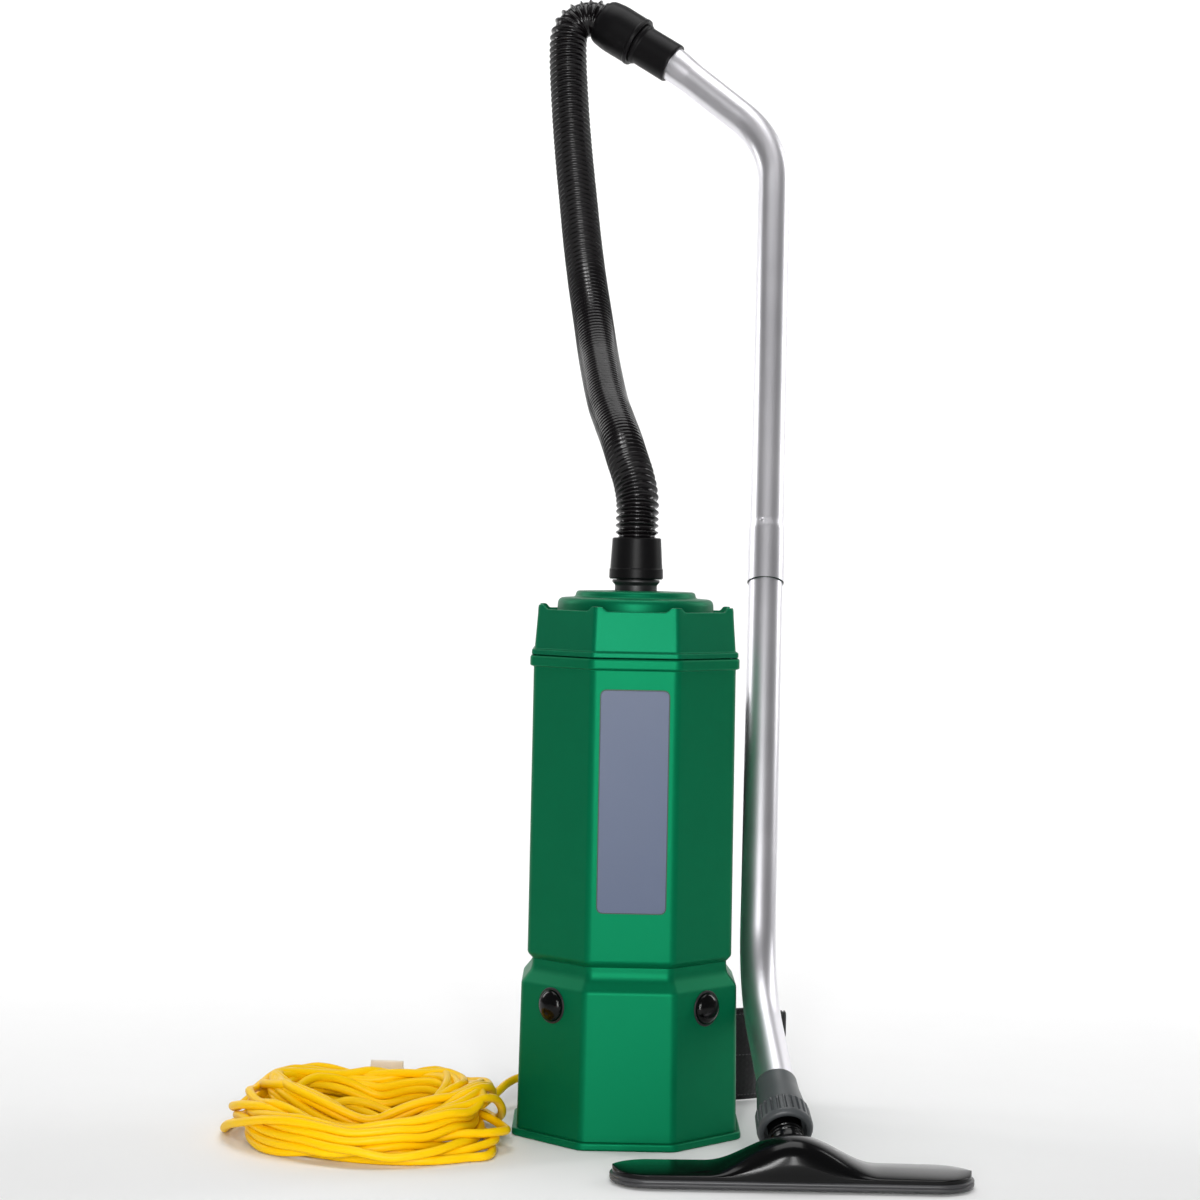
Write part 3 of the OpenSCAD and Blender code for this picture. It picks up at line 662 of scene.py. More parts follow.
def laid_down(points, lowest):
    """Raises each stretch of a cord just enough to lie on the stretches laid before it."""
    cells = {}
    under = []
    for i, p in enumerate(points):
        key = (int(p.x // CORD_D), int(p.y // CORD_D))
        below = []
        for dx in (-1, 0, 1):
            for dy in (-1, 0, 1):
                for j in cells.get((key[0] + dx, key[1] + dy), ()):
                    apart = (points[j].x - p.x) ** 2 + (points[j].y - p.y) ** 2
                    if i - j > 12 and apart < CORD_D**2:
                        below.append((j, math.sqrt(CORD_D**2 - apart)))
        under.append(below)
        cells.setdefault(key, []).append(i)
    heights = list(lowest)
    reach = 14
    sag = 1 / (2 * 42.0)
    step = (points[1] - points[0]).length
    drop = [sag * (k * step) ** 2 for k in range(reach + 1)]
    for _ in range(6):
        raised = [
            max([lowest[i], heights[i]] + [heights[j] + rise for j, rise in under[i]])
            for i in range(len(points))
        ]
        heights = [
            max(
                raised[j] - drop[abs(i - j)]
                for j in range(max(0, i - reach), min(len(points), i + reach + 1))
            )
            for i in range(len(points))
        ]
        for _ in range(6):
            heights = [
                max(
                    raised[i],
                    0.25 * (heights[max(i - 1, 0)] + 2 * h + heights[min(i + 1, len(heights) - 1)]),
                )
                for i, h in enumerate(heights)
            ]
    return heights


def make_power_cord():
    """One long yellow cord: from its gland, round the heap and down to its plug."""
    entry = [Vector(p) for p in cord_route]
    turns = [loop_point(0.12 + k / 14) for k in range(int((CORD_TURNS - 0.22) * 14))]
    tail = [Vector(p) for p in tail_route]
    route = [Vector((p.x, p.y, 0)) for p in entry] + turns + [Vector((p.x, p.y, 0)) for p in tail]
    line = smooth_path(route, 5.0)
    rest = CORD_D / 2 + 0.2
    known = smooth_path(entry, 2.0) + smooth_path(tail, 2.0)
    lowest = []
    for i, p in enumerate(line):
        at_end = i < 40 or i > len(line) - 40
        nearest = min(known, key=lambda q: (q.x - p.x) ** 2 + (q.y - p.y) ** 2)
        close = (nearest.x - p.x) ** 2 + (nearest.y - p.y) ** 2 < 36
        lowest.append(nearest.z if at_end and close else rest)
    heights = laid_down(line, lowest)
    curve = bpy.data.curves.new("power_cord", "CURVE")
    curve.dimensions = "3D"
    curve.bevel_depth = CORD_D / 2 * MM
    curve.bevel_resolution = 4
    curve.use_fill_caps = True
    spline = curve.splines.new("POLY")
    spline.points.add(len(line) - 1)
    for point, p, z in zip(spline.points, line, heights):
        point.co = (p.x * MM, p.y * MM, z * MM, 1)
    spline.use_smooth = True
    curve.materials.append(mat["cord"])
    cord = bpy.data.objects.new("power_cord", curve)
    bpy.context.scene.collection.objects.link(cord)
    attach(cord, "canister")
    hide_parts("cord_tube", "cord_coil")
    return max(heights)


make_hose()
make_power_cord()


# --- canister ----------------------------------------------------------------------------------
def make_canister():
    flange = rounded([(92, 0.6, 0), (118.6, 0.2, 0), (120, 1.4, 1), (120, 8, 2.2), (113, 8, 0), (92, 8, 0)])
    piece(
        "base_flange", "canister", octagon_shell(flange, 13), mat["green"], ["base_plate"],
    )
    base = rounded(
        [
            (105, 8.1, 0), (115, 8.1, 0.5), (112.8, 160.5, 2.6), (103.6, 172.5, 5), (102, 178, 3),
            (101.9, 185, 0), (96, 185, 0),
        ]
    )
    piece(
        "base_housing", "canister", octagon_shell(base, 13), mat["green"], ["motor_base", "joint_ring"],
    )
    body = rounded(
        [
            (96, 185.2, 0), (102.1, 185.2, 0.6), (107, 190.6, 2.4), (106.2, 491, 1.2), (110, 491.6, 2.4),
            (110, 502.4, 2.6), (105, 502.6, 0), (103.4, 500, 0),
        ]
    )
    piece(
        "main_housing", "canister", octagon_shell(body, 13), mat["green"], ["main_shell"],
    )


def make_badge():
    face = along(Vector((0, -106.6, 356)), Vector((0, -1, 0)), Vector((0, 0, 1)))
    # A dark ring a little wider than the badge plate paints the shadow round the plate's raised edge
    piece(
        "painted_shade_edge", "canister", extruded(slab_outline(72.0, 230.2, 7.5), 0.6, face, 0.2),
        mat["painted_shade_edge"],
    )
    piece(
        "badge_face", "canister", extruded(slab_outline(70, 228, 6.5), 1.2, face, 0.35), mat["badge"],
        ["badge_plate"],
    )


def on_face(side, out, z):
    """A frame on one of the canister's flats: z points out, y up."""
    turn = math.radians(side)
    outward = Vector((math.sin(turn), -math.cos(turn), 0))
    across = Vector((math.cos(turn), math.sin(turn), 0))
    place = outward * out + Vector((0, 0, z))
    return Matrix.Translation(place) @ Matrix((across, Vector((0, 0, 1)), outward)).transposed().to_4x4()


def make_knobs():
    dome = [(16.4 * math.cos(a), 0.8 + 8.6 * math.sin(a)) for a in [math.radians(10 * k) for k in range(9)]]
    profile = [(3.6, -12), (3.6, 0.2), (16.0, 0.0)] + dome + [(0.4, 9.4)]
    seat = rounded([(16.2, -1, 0), (18.6, -1, 0), (18.6, 0.9, 0.8), (16.6, 0.9, 0.4), (16.2, 0.2, 0)])
    knobs = []
    seats = []
    for side in (-45, 45):
        frame_here = on_face(side, 113.4, 141.5)
        knobs.append(turned(profile, 48, frame_here, caps=True))
        seats.append(turned(seat, 48, frame_here))
    piece("knob_domes", "canister", joined(*knobs), mat["black_gloss"], ["base_knobs"])
    piece("knob_seats", "canister", joined(*seats), mat["black_satin"])


def make_lid():
    """Lid with a wall that leans in, eight raised corner points and two soft round steps on top."""
    wall = rounded(
        [(101, 503.4, 0), (108.5, 503.4, 1), (108.5, 508.8, 2), (105.6, 509.6, 1.2), (102.9, 546, 0)]
    )
    corner = 8
    rings = [[Vector((p.x, p.y, z)) for p in dense_octagon(half, corner)] for half, z in wall]

    def peak(p):
        turn = (math.degrees(math.atan2(p.y, p.x)) - 22.5) % 45
        off = min(turn, 45 - turn) * math.pi / 180 * 108
        return 1 / (1 + math.exp((off - 8.2) * 1.15))

    for half, base in ((102.7, 550.0), (102.1, 550.8), (100.8, 551.0), (99.6, 550.4), (98.8, 546.5)):
        rings.append(
            [
                Vector((p.x, p.y, base + 4.6 * peak(p) * (1 if base > 550 else 0.4)))
                for p in dense_octagon(half, corner)
            ]
        )
    rings.append([Vector((p.x, p.y, 545.2)) for p in dense_octagon(95, corner)])
    steps = rounded(
        [(90, 545, 0), (83.4, 545.2, 3), (82.6, 563, 6.5), (64.4, 564.2, 2.5), (63, 570.6, 4.5),
         (30, 571.4, 0),
         (22.6, 571.4, 0), (22.6, 566, 0)],
        7,
    )
    first = dense_octagon(95, corner)
    for r, z in steps:
        rings.append([Vector((p.normalized().x * r, p.normalized().y * r, z)) for p in first])
    piece("lid_cover", "lid", grid(rings, caps=False), mat["green_lid"], ["lid"])


def dense_octagon(half, corner):
    """The rounded octagon with its flats divided finely, so that an edge can rise and fall."""
    outline = octagon(half, corner, 5)
    out = []
    for i, p in enumerate(outline):
        following = outline[(i + 1) % len(outline)]
        parts = 26 if i % 6 == 5 else 1
        out.extend(p.lerp(following, s / parts) for s in range(parts))
    return out


def make_port_and_cuffs():
    port = rounded(
        [(18.4, 569, 0), (22.4, 569, 0), (22.4, 577.6, 1.2), (25.2, 580.4, 1), (25.2, 583, 0.8),
         (20.9, 583.2, 0),
         (20.9, 598, 0.6), (18.4, 598, 0), (18.4, 569, 0)]
    )
    piece("port_collar", "lid", turned(port), mat["black_satin"], ["hose_port"], crease=40)
    cuff = rounded(
        [(21.2, 583.7, 0), (27.4, 583.7, 0.5), (28.8, 585, 0.8), (28.5, 594.6, 0.5), (27.8, 595.2, 0.4),
         (25.9, 627.2, 0.9), (23.7, 628, 0.6), (23.7, 600, 0), (21.2, 600, 0), (21.2, 583.7, 0)]
    )
    piece(
        "canister_cuff_skin", "cuff", turned(cuff), mat["rubber"], ["canister_cuff"],
        crease=40,
    )
    collar = rounded(
        [(23.8, 0, 0), (30.2, 0, 1.2), (30.8, 4, 0.6), (30.0, 5.2, 0.5), (30.3, 36, 6), (28.4, 50, 3),
         (26.4, 54, 1.4),
         (25.5, 54, 0), (25.5, 46, 0), (23.8, 46, 0), (23.8, 0, 0)]
    )
    place = along(CUFF_MOUTH + 50.6 * CUFF_DIR, CUFF_DIR)
    piece(
        "hose_collar_skin", "collar", turned(collar, 64, place), mat["rubber"], ["hose_collar"],
    )
    cuff = rounded(
        [(20.9, 0.0, 0), (24.0, 0.0, 0.8), (24.5, 2.5, 0.8), (24.3, 44, 1), (26.2, 46.4, 0.8),
         (26.2, 49.6, 0.8),
         (23.55, 50.2, 0), (23.55, 74, 0), (17, 74, 0), (17, 21, 0), (20.9, 20, 0), (20.9, 0.0, 0)]
    )
    piece(
        "wand_cuff_skin", "canister", turned(cuff, 64, along(CUFF_MOUTH, CUFF_DIR)), mat["rubber"],
        ["wand_cuff"],
    )


# --- wand ----------------------------------------------------------------------------------------
def arc(start, heading, inward, radius, angle, steps=24):
    return [
        start + radius * (math.sin(a) * heading + (1 - math.cos(a)) * inward)
        for a in [angle * k / steps for k in range(1, steps + 1)]
    ]


def make_wand():
    bend_angle = math.acos((-TOE_DIR).dot(UP_DIR))
    heel_len = HEEL_R * math.tan(bend_angle / 2)
    foot = CORNER + TOE_END * TOE_DIR
    start = CORNER + heel_len * TOE_DIR
    inward = (UP_DIR - UP_DIR.dot(-TOE_DIR) * -TOE_DIR).normalized()
    lower = even([foot, start], 6)
    lower += arc(start, -TOE_DIR, inward, HEEL_R, bend_angle, 30)
    lower += even([CORNER + heel_len * UP_DIR, CORNER + (JOINT_AT + 40) * UP_DIR], 6)[1:]
    piece("lower_wand_tube", "canister", tube(lower, WAND_R, 56), mat["wand"], ["lower_wand"])

    socket_end = JOINT_AT + JOINT_LEN
    marks = [(0, 1.5), (0.2, 1.5), (JOINT_LEN - 12, 1.4), (JOINT_LEN - 8, 1.0), (JOINT_LEN - 3, 0.25)]
    marks.append((JOINT_LEN, 0))
    rings = [(CORNER + (JOINT_AT + at) * UP_DIR, WAND_R + extra) for at, extra in marks]
    straight = even([CORNER + (socket_end + 1) * UP_DIR, CROOK_FOOT], 8)
    upper = [p for p, _ in rings] + straight + arc(CROOK_FOOT, UP_DIR, SIDE_DIR, BEND_R, UPPER_BEND, 28)
    radii = [r for _, r in rings] + [WAND_R] * (len(upper) - len(rings))
    for at in (20, 50, 80, 84, 92, 100, 108, 124, 130):
        upper.append(CROOK_END + at * CROOK_DIR)
        radii.append(WAND_R + 1.7 * min(1, max(0, (at - 80) / 26)))
    lip = tube(upper, lambda i: radii[i], 56, caps=False)
    piece("upper_wand_tube", "canister", lip, mat["wand"], ["upper_wand"], crease=30)
    # Painted shade: a thin dark ring where the socket meets the lower tube stands for the shade in that step
    seam = [(WAND_R + 0.02, -0.9), (WAND_R + 1.0, -0.9), (WAND_R + 1.2, 0.05)]
    seam_at = along(CORNER + JOINT_AT * UP_DIR, UP_DIR)
    piece("wand_joint_painted_shade", "canister", turned(seam, 56, seam_at), mat["painted_shade_edge"])
    button_at = CORNER + (socket_end - 4) * UP_DIR
    toward = Vector((-0.35, -0.94, 0.3)).normalized()
    toward = (toward - toward.dot(UP_DIR) * UP_DIR).normalized()
    button = rounded([(3.0, -1.5, 0), (2.8, 0.2, 0.4), (1.9, 0.7, 0.6), (0.1, 0.8, 0)])
    piece(
        "wand_catch", "canister", turned(button, 24, along(button_at + WAND_R * toward, toward), caps=True),
        mat["wand"],
    )


def make_sleeve_and_ring():
    sleeve = rounded(
        [(19.2, 0, 0), (20.8, 0, 0.6), (21.2, 1.6, 0.5), (21.8, 16, 4), (24.6, 38, 2), (25, 42.4, 0.4),
         (22, 42.6, 0),
         (22, 58, 0), (17.7, 58, 0)]
    )
    place = along(CORNER + SLEEVE_AT * TOE_DIR, TOE_DIR)
    piece(
        "wand_sleeve_skin", "canister", turned(sleeve, 56, place), mat["sleeve"], ["wand_sleeve"],
    )

    teeth = 26
    sides = teeth * 8
    outline = rounded(
        [(22.2, 0, 0), (25.4, 0, 1.0), (27.4, 2.2, 1.4), (28.2, 20, 2), (28.4, 23.6, 1.6), (26.6, 27.6, 2.4),
         (23.6, 28.8, 1.6), (21.2, 27.6, 0.8), (21.1, 16, 0), (22.2, 16, 0), (22.2, 0, 0)]
    )
    rings = []
    for r, z in outline:
        ring = []
        for k in range(sides):
            phase = (k / 8) % 1.0
            ridge = 0.5 + 0.5 * math.tanh(5 * math.sin(2 * math.pi * phase) + 2.2)
            grip = 1.0 if r > 25.2 and 2 < z < 22 else 0.0
            grip *= min(1, (z - 2) / 1.5, (22 - z) / 1.5) if grip else 0
            radius = r - 2.3 * (1 - ridge) * grip
            angle = 2 * math.pi * k / sides
            ring.append(Vector((radius * math.cos(angle), radius * math.sin(angle), z)))
        rings.append(ring)
    place = along(CORNER + RING_AT * TOE_DIR, TOE_DIR)
    piece(
        "lock_ring_skin", "ring", placed(grid(rings, caps=False), place), mat["ring"], ["lock_ring"],
        crease=40,
    )


# --- floor tool ------------------------------------------------------------------------------------
TOOL_X = PIVOT.x
TOOL_Y = -248
TOOL_HALF = 175
TOOL_DEPTH = 35.5


def cut_away(obj, cutter_shape):
    """Takes a shape out of a piece."""
    mesh = bpy.data.meshes.new("cutter")
    mesh.from_pydata([v * MM for v in cutter_shape[0]], [], cutter_shape[1])
    cutter = bpy.data.objects.new("cutter", mesh)
    bpy.context.scene.collection.objects.link(cutter)
    cleaner = bmesh.new()
    cleaner.from_mesh(mesh)
    bmesh.ops.recalc_face_normals(cleaner, faces=cleaner.faces)
    cleaner.to_mesh(mesh)
    cleaner.free()
    boolean = obj.modifiers.new("cut", "BOOLEAN")
    boolean.operation = "DIFFERENCE"
    boolean.solver = "EXACT"
    boolean.object = cutter
    obj.modifiers.move(len(obj.modifiers) - 1, 0)
    with bpy.context.temp_override(object=obj, active_object=obj, selected_objects=[obj]):
        bpy.ops.object.modifier_apply(modifier="cut")
    bpy.data.objects.remove(cutter)
    obj.data.polygons.foreach_set("use_smooth", [True] * len(obj.data.polygons))
    obj.data.set_sharp_from_angle(angle=math.radians(32))


def hump(x):
    """Height of the tool's ridge above its wings, from 0 to 1, along its length."""
    return math.cos(min(1.0, abs(x) / 84) * math.pi / 2) ** 1.7


def make_floor_tool():
    """One glossy moulding: long low wings that rise into a bell over the neck."""
    columns = 120
    rows = 44
    rings = []
    for i in range(columns + 1):
        x = -TOOL_HALF + 2 * TOOL_HALF * (0.5 - 0.5 * math.cos(math.pi * i / columns))
        over = max(0.0, abs(x) - (TOOL_HALF - TOOL_DEPTH)) / TOOL_DEPTH
        half = TOOL_DEPTH * math.sqrt(max(0.0, 1 - over**2)) + 0.02
        rise = hump(x)
        top = 17.0 + 3.5 * (1 - abs(x) / TOOL_HALF) + 29.5 * rise
        power = 1.75 + 0.5 * rise
        ring = []
        for k in range(rows + 1):
            angle = math.pi * k / rows
            across = -math.cos(angle)
            up = math.sin(angle)
            y = half * math.copysign(abs(across) ** (2 / power), across)
            z = 13.5 + (top - 13.5) * up ** (2 / power)
            lean = -7 * rise * (z - 13.5) / 36
            ring.append(Vector((TOOL_X + x, TOOL_Y + y + lean, z)))
        ring.append(Vector((TOOL_X + x, TOOL_Y + half, 10.2)))
        ring.append(Vector((TOOL_X + x, TOOL_Y - half, 10.2)))
        rings.append(ring)
    shell = piece(
        "tool_moulding", "floor_tool", grid(rings), mat["black_gloss"], ["tool_shell"],
        crease=50,
    )
    slot = []
    for k in range(12):
        angle = math.radians(150 + 180 * k / 11)
        slot.append((PIVOT.y + 18.6 * math.cos(angle), PIVOT.z + 18.6 * math.sin(angle)))
    slot.append((PIVOT.y + 17, PIVOT.z - 12.5))
    slot.append((PIVOT.y + 60, PIVOT.z - 12.5))
    slot.append((PIVOT.y + 52, PIVOT.z + 70))
    slot.append((PIVOT.y - 2, PIVOT.z + 60))
    slot.append((PIVOT.y - 14, PIVOT.z + 15))
    cutter = grid(
        [[Vector((TOOL_X + x, y, z)) for y, z in slot] for x in (-25, 25)]
    )
    cut_away(shell, cutter)

    rim = []
    profile = rounded(
        [(TOOL_DEPTH - 3, 3.2, 0), (38, 3.2, 1.4), (38.2, 6.2, 0.8), (37.2, 7, 0.5), (38.2, 7.8, 0.5),
         (37.9, 9.6, 0.8),
         (TOOL_DEPTH + 0.2, 10.4, 0.5), (TOOL_DEPTH - 3, 10.4, 0), (TOOL_DEPTH - 3, 3.2, 0)]
    )
    arcs = 24
    for off, z in profile:
        ring = []
        for end in (1, -1):
            for k in range(arcs + 1):
                angle = end * math.pi / 2 * -1 + math.pi * k / arcs
                if end == -1:
                    angle = math.pi / 2 + math.pi * k / arcs
                centre = Vector((TOOL_X + end * (TOOL_HALF - TOOL_DEPTH), TOOL_Y, z))
                ring.append(centre + off * Vector((math.cos(angle), math.sin(angle), 0)))
        rim.append(ring)
    piece("tool_rim", "floor_tool", grid(rim, caps=False), mat["bumper"], ["tool_bumper"])


def make_neck():
    """Swivel neck: ribbed tube that runs from the ring into a cross barrel."""
    length = PIVOT_AT - TOE_END - 1
    outline = rounded(
        [(15, 0, 0), (17.4, 0, 0), (17.4, 38, 0.4), (16.2, 39, 0.4), (16.2, 41, 0.4), (17.4, 42, 0.4),
         (17.4, 44, 0.4),
         (16.2, 45, 0.4), (16.2, 47, 0.4), (17.4, 48, 0.4), (17.4, length - 17, 3), (12.5, length - 8, 0)]
    )
    neck = turned(outline, 48, along(CORNER + (TOE_END + 1) * TOE_DIR, TOE_DIR))
    barrel = rounded(
        [(0.2, -22, 0), (13.6, -22, 1), (14.9, -20.6, 1), (14.9, 20.6, 1), (13.6, 22, 1), (0.2, 22, 0)]
    )
    cross = turned(barrel, 48, along(PIVOT, Vector((1, 0, 0))), caps=True)
    piece("swivel_neck", "neck", joined(neck, cross), mat["black_gloss"], ["tool_neck"])


make_canister()
make_badge()
make_knobs()
make_lid()
make_port_and_cuffs()
make_wand()
make_sleeve_and_ring()
make_floor_tool()
make_neck()

# --- harness ---------------------------------------------------------------------------------------
PLATE_BACK = 128.2


def band_section(width, thick, edge, count=36):
    """Outline of a padded band: a crowned middle and flat sewn edges."""
    half = width / 2
    out = []
    for k in range(count):
        angle = 2 * math.pi * k / count
        u = math.copysign(abs(math.cos(angle)) ** 0.5, math.cos(angle))
        crown = math.sqrt(max(0.0, 1 - (abs(u) / 0.93) ** 6))
        t = max(edge / 2, thick / 2 * crown) * (1 if abs(u) < 0.995 else 0.6)
        out.append((u * half, math.copysign(t, math.sin(angle)) if k % (count // 2) else 0.0))
    return out


def band(path, across, width, thick, edge, step=4.0):
    """A padded strap or a strip of webbing along a line, its width along a fixed direction."""
    line = smooth_path(path, step)
    across = Vector(across).normalized()
    section = band_section(width, thick, edge)
    rings = []
    last = len(line) - 1
    for i, p in enumerate(line):
        ahead = (line[min(i + 1, last)] - line[max(i - 1, 0)]).normalized()
        normal = ahead.cross(across).normalized()
        ends = min(i, last - i) * step
        squeeze = min(1.0, 0.35 + 0.65 * ends / max(thick, 6)) if thick > 5 else 1.0
        rings.append([p + u * across + t * squeeze * normal for u, t in section])
    return grid(rings)


def seam_line(path, across, offset, height, step=4.0):
    """A row of stitches along a band, offset from its middle, on both of its faces."""
    line = smooth_path(path, step)
    across = Vector(across).normalized()
    shapes = []
    for i in range(2, len(line) - 3):
        ahead = (line[i + 1] - line[i]).normalized()
        normal = ahead.cross(across).normalized()
        for face in (1, -1):
            middle = line[i].lerp(line[i + 1], 0.5) + offset * across + face * height * normal
            bead = [
                [
                    middle + (at * 1.4) * ahead + r * (math.cos(a) * across + math.sin(a) * normal)
                    for a in [math.radians(60 * k) for k in range(6)]
                ]
                for at, r in ((-1, 0.2), (-0.7, 0.45), (0.7, 0.45), (1, 0.2))
            ]
            shapes.append(grid(bead))
    return joined(*shapes)


def strap_points():
    points = [(PLATE_BACK, 451.5), (PLATE_BACK + 8, 451.9)]
    for k in range(17):
        a = math.radians(86 - 132.4 * k / 16)
        points.append((PLATE_BACK + 12 + 109.5 * math.cos(a) ** 0.8, 296 + 155.5 * math.sin(a)))
    return points


def make_straps():
    for name, side in (("left", -1), ("right", 1)):
        path = [Vector((side * 62, y, z)) for y, z in strap_points()]
        strap = piece(
            f"{name}_strap_pad", "canister", band(path, (1, 0, 0), 50, 11, 3.2), mat["cloth"],
            [f"strap_{name}"], crease=60,
        )
        piece(
            f"{name}_strap_stitches", "canister",
            joined(seam_line(path, (1, 0, 0), 21.5, 3.4), seam_line(path, (1, 0, 0), -21.5, 3.4)),
            mat["thread"],
        )
        edge = [
            tube(smooth_path([p + Vector((off, 0, 0)) for p in path], 5), 1.9, 10) for off in (-24.4, 24.4)
        ]
        piece(f"{name}_strap_binding", "canister", joined(*edge), mat["piping"])


def make_belt():
    left = [(-76, 137), (-88.5, 145), (-95.5, 160), (-99, 181), (-100.4, 205), (-100.5, 239)]
    right = [(76, 136.5), (100, 137.5), (122, 142.5), (140, 150.5), (152, 158.3)]
    for name, path in (("left", left), ("right", right)):
        line = [Vector((x, y, 53.5)) for x, y in path]
        wing = piece(
            f"{name}_belt_wing", "canister", band(line, (0, 0, 1), 101, 12.6, 3.2), mat["cloth"],
            [f"belt_wing_{name}"], crease=60,
        )
        seams = joined(
            *(seam_line(line, (0, 0, 1), off, 4.2 if abs(off) > 30 else 6.3) for off in (-45, 0, 45))
        )
        piece(f"{name}_wing_stitches", "canister", seams, mat["thread"])
        edge = [
            tube(smooth_path([p + Vector((0, 0, off)) for p in line], 5), 2.0, 10) for off in (-49.4, 49.4)
        ]
        piece(f"{name}_wing_binding", "canister", joined(*edge), mat["piping"])
    tabs = joined(
        band([(152.3, 161.6, 81), (159, 161.8, 81), (166, 162, 81)], (0, 0, 1), 38, 3.0, 2.4, 1.5),
        band([(-102, 239.3, 77), (-102, 254, 77), (-102, 269.3, 77)], (0, 0, 1), 30, 2.5, 2.2, 1.5),
    )
    piece("belt_tabs", "canister", tabs, mat["webbing"], ["belt_webbing"], crease=60)
    tails = []
    for side in (-1, 1):
        tails.append(
            band(
                [(side * 62, y, z) for y, z in ((190, 152), (168, 136), (146, 120), (129.2, 108.4))],
                (1, 0, 0), 25, 2.5, 2.2, 1.5,
            )
        )
    piece("strap_tails", "canister", joined(*tails), mat["webbing"], ["strap_webbing"], crease=60)


def swell(obj, cap, wall):
    """Lets a closed skin fill out as cloth, moves no point further than the cap, and keeps it off a wall."""
    scene = bpy.context.scene
    before = [v.co.copy() for v in obj.data.vertices]
    cloth = obj.modifiers.new("cloth", "CLOTH")
    cloth.settings.use_pressure = True
    cloth.settings.uniform_pressure_force = CLOTH_PRESSURE
    cloth.settings.quality = 5
    cloth.settings.effector_weights.gravity = 0
    cloth.point_cache.frame_start = 1
    cloth.point_cache.frame_end = CLOTH_FRAMES
    for number in range(1, CLOTH_FRAMES + 1):
        scene.frame_set(number)
    graph = bpy.context.evaluated_depsgraph_get()
    after = [v.co.copy() for v in obj.evaluated_get(graph).data.vertices]
    obj.modifiers.remove(cloth)
    for vertex, a, b in zip(obj.data.vertices, before, after):
        move = b - a
        if move.length > cap:
            move = move.normalized() * cap
        spot = a + move
        spot.y = max(spot.y, wall)
        vertex.co = spot
    scene.frame_set(1)


def make_cushion(name, node, width, height, thick, centre_z, channels):
    """A foam cushion on the plate: filled out as cloth, sewn through in channels, bound at its edge."""
    middle = PLATE_BACK + thick / 2
    outline = slab_outline(width - 9, height - 9, 16, 8)
    place = along(Vector((0, middle, centre_z)), Vector((0, 1, 0)), Vector((0, 0, 1)))
    depth = thick - 4
    rings = []
    for at, inset in ((-0.5, 5), (-0.46, 1.5), (-0.3, 0), (0.3, 0), (0.44, 2), (0.5, 7)):
        scale_x = (width - 9 - 2 * inset) / (width - 9)
        scale_y = (height - 9 - 2 * inset) / (height - 9)
        rings.append([Vector((p.x * scale_x, p.y * scale_y, at * depth)) for p in outline])
    cushion = piece(name, None, placed(grid(rings), place), mat["cloth"], crease=180)
    cushion.modifiers.clear()
    remesh = cushion.modifiers.new("remesh", "REMESH")
    remesh.mode = "VOXEL"
    remesh.voxel_size = CLOTH_VOXEL
    graph = bpy.context.evaluated_depsgraph_get()
    fresh = bpy.data.meshes.new_from_object(cushion.evaluated_get(graph))
    cushion.modifiers.clear()
    cushion.data = fresh
    swell(cushion, CLOTH_CAP, (PLATE_BACK + 0.1) * MM)
    finer = cushion.modifiers.new("finer", "SUBSURF")
    finer.levels = 1
    graph = bpy.context.evaluated_depsgraph_get()
    mesh = bpy.data.meshes.new_from_object(cushion.evaluated_get(graph))
    cushion.modifiers.clear()
    cushion.data = mesh
    for vertex in mesh.vertices:
        y = vertex.co.y / MM
        x = vertex.co.x / MM
        z = vertex.co.z / MM
        if y < middle:
            continue
        off = min(abs(z - c) for c in channels)
        sink = 5.0 * math.exp(-((off / 3.4) ** 2)) * min(1.0, (width / 2 - abs(x)) / 8)
        vertex.co.y = max(middle, y - max(0.0, sink)) * MM
    mesh.materials.clear()
    mesh.materials.append(mat["cloth"])
    mesh.polygons.foreach_set("use_smooth", [True] * len(mesh.polygons))
    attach(cushion, "canister")
    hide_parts(node)
    loop = [place @ Vector((p.x, p.y, 0)) for p in slab_outline(width - 3, height - 3, 18, 8)]
    loop = even(loop + [loop[0]], 4)[:-1]
    rings = []
    for i, p in enumerate(loop):
        ahead = (loop[(i + 1) % len(loop)] - loop[i - 1]).normalized()
        side = ahead.cross(Vector((0, 1, 0))).normalized()
        rings.append(
            [p + 2.1 * (math.cos(a) * side + math.sin(a) * Vector((0, 1, 0))) for a in
             [math.radians(36 * k) for k in range(10)]]
        )
    rings.append(rings[0])
    piece(f"{name}_binding", "canister", grid(rings, caps=False), mat["piping"])


def make_back_plate():
    place = along(Vector((0, 123.9, 262)), Vector((0, 1, 0)), Vector((0, 0, 1)))
    plate = extruded(slab_outline(186, 430, 28, 8), 4.2, place, 0.9)
    ridge = []
    for x in (-76, 76):
        upright = along(Vector((x, 127.4, 262)), Vector((0, 1, 0)), Vector((0, 0, 1)))
        ridge.append(extruded(slab_outline(7, 330, 3.4, 5), 3.2, upright, 1.2))
    for x in (-82, 82):
        for z in (66, 458):
            screw = [(5.5, -1), (5.5, 1.2), (4.6, 2.2), (2.2, 2.5), (2.0, 1.4), (0.2, 1.4)]
            ridge.append(turned(screw, 28, along(Vector((x, 128, z)), Vector((0, 1, 0))), caps=True))
    piece("frame_plate", "canister", joined(plate, *ridge), mat["black_satin"], ["back_plate"])


def make_buckle():
    """Side-release socket with gripping ribs round it, upright at the end of the right wing."""
    length = 24
    rings = []
    for k in range(49):
        at = length * k / 48
        grip = 0.9 if at > 6 and (at % 4) < 1.4 else 0.0
        end = 1.6 * max(0.0, 1 - min(at, length - at) / 1.5)
        outline = slab_outline(13.6 - 2 * (grip + end), 30.6 - 2 * (grip + end), 4, 5)
        rings.append([Vector((156.4 + at, 164 + p.x, 84 + p.y)) for p in outline])
    piece("buckle_end", "canister", grid(rings), mat["black_satin"], ["buckle_socket"])


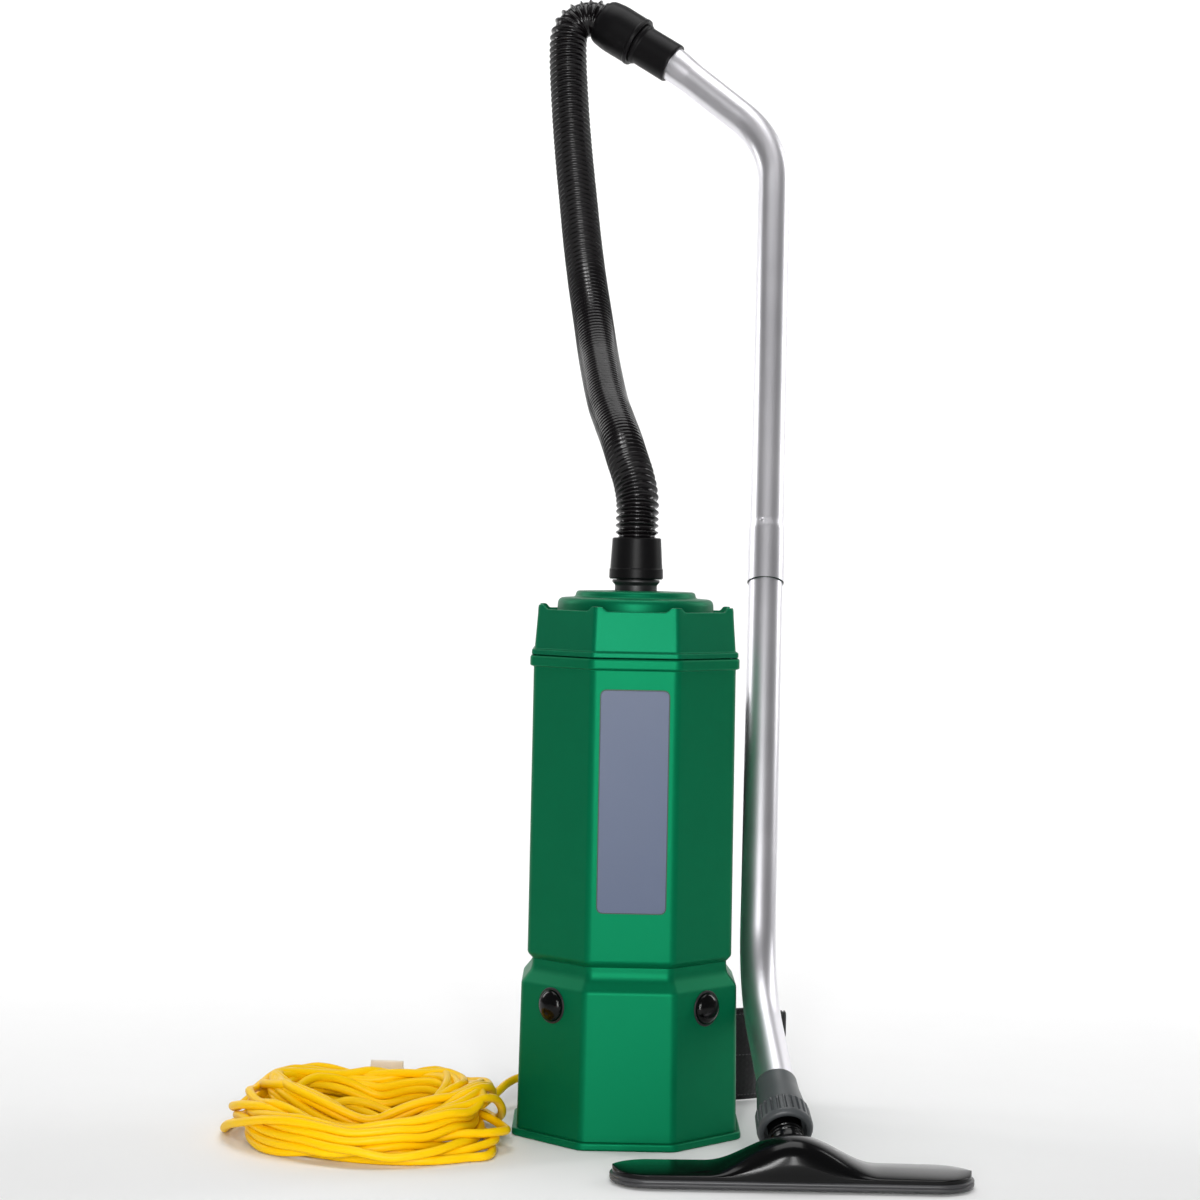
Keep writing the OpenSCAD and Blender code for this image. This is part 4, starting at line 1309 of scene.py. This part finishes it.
def make_gland():
    """Moulded gland and a ribbed, tapering sleeve that follows the cord out of it."""
    face = on_face(-135, 113, 34)
    nut = rounded(
        [(4, 0, 0), (9.4, 0, 0), (9.4, 4.6, 1.2), (7.8, 5.2, 0.5), (7.6, 11.4, 0.6), (5.2, 12, 0), (4, 12, 0)]
    )
    line = smooth_path(cord_route, 0.8)[:46]

    def swelling(i):
        taper = 7.4 - 1.9 * i / 45
        return taper - (0.7 if i % 6 in (3, 4) and 2 < i < 44 else 0)

    sleeve = tube(line, swelling, 28)
    piece(
        "cord_grommet", "canister", joined(turned(nut, 40, face), sleeve), mat["rubber"], ["cord_gland"],
        crease=40,
    )


def make_tag():
    """Blank paper tag that stands up from the heap with a lazy curl."""
    rings = []
    for i in range(19):
        x = -278 + 36 * i / 18
        ring = []
        for k in range(13):
            up = k / 12
            curl = 3.2 * math.sin(math.pi * i / 18) + 4.0 * up * up * (i / 18)
            ring.append(Vector((x, 66.0 - curl, 28 + 26 * up + 0.8 * math.sin(math.pi * i / 18))))
        rings.append(ring)
    tag = piece(
        "paper_tag", "canister", grid(rings, wrap=False, caps=False), mat["tag"], ["cord_tag"],
    )
    solid = tag.modifiers.new("thickness", "SOLIDIFY")
    solid.thickness = 0.4 * MM


def make_bristles():
    """Rows of tufts set close together under the tool."""
    for name, node, y in (("front_tufts", "front_bristles", -14), ("rear_tufts", "rear_bristles", 14)):
        tufts = []
        place = Matrix.Translation((TOOL_X, TOOL_Y + y, 3.9))
        tufts.append(extruded(slab_outline(292, 3.6, 1.2, 3), 1.2, place, 0.3))
        for k in range(97):
            x = TOOL_X - 144 + 3 * k
            lean = 0.5 * math.sin(k * 2.4)
            rings = [
                [
                    Vector(
                        (
                            x + lean * (1 - h) + r * math.cos(a),
                            TOOL_Y + y + r * 0.9 * math.sin(a),
                            0.2 + 4.4 * h,
                        )
                    )
                    for a in [math.radians(60 * m) for m in range(6)]
                ]
                for h, r in ((0, 1.6), (0.5, 1.35), (1, 1.1))
            ]
            tufts.append(grid(rings))
        piece(name, "floor_tool", joined(*tufts), mat["bristle"], [node])


make_straps()
make_belt()
make_cushion("back_cushion", "back_pad", 94, 330, 20, 272, [162, 217, 272, 327, 382])
make_cushion("belt_cushion", "belt_pad", 150, 94, 15, 58, [58])
make_back_plate()
make_buckle()
make_gland()
make_tag()
make_bristles()

# --- nodes that keep their CAD shape ---------------------------------------------------------------
kept_finishes = {
    "exhaust_filter": "felt", "dome_filter": "felt", "dust_bag": "paper", "bag_collar": "paper",
    "motor_mount": "black_satin", "motor_cap": "black_satin", "suction_motor": "casting",
    "switch_bezel": "black_satin", "switch_rocker": "red", "lid_gasket": "rubber",
    "tool_plate": "black_satin", "plate_brackets": "black_satin", "strap_adjusters": "black_satin",
    "buckle_tongue": "black_satin", "plug_body": "cord", "plug_blades": "brass",
}
for name, finish in kept_finishes.items():
    mesh = nodes[name].data
    mesh.materials.clear()
    mesh.materials.append(mat[finish])
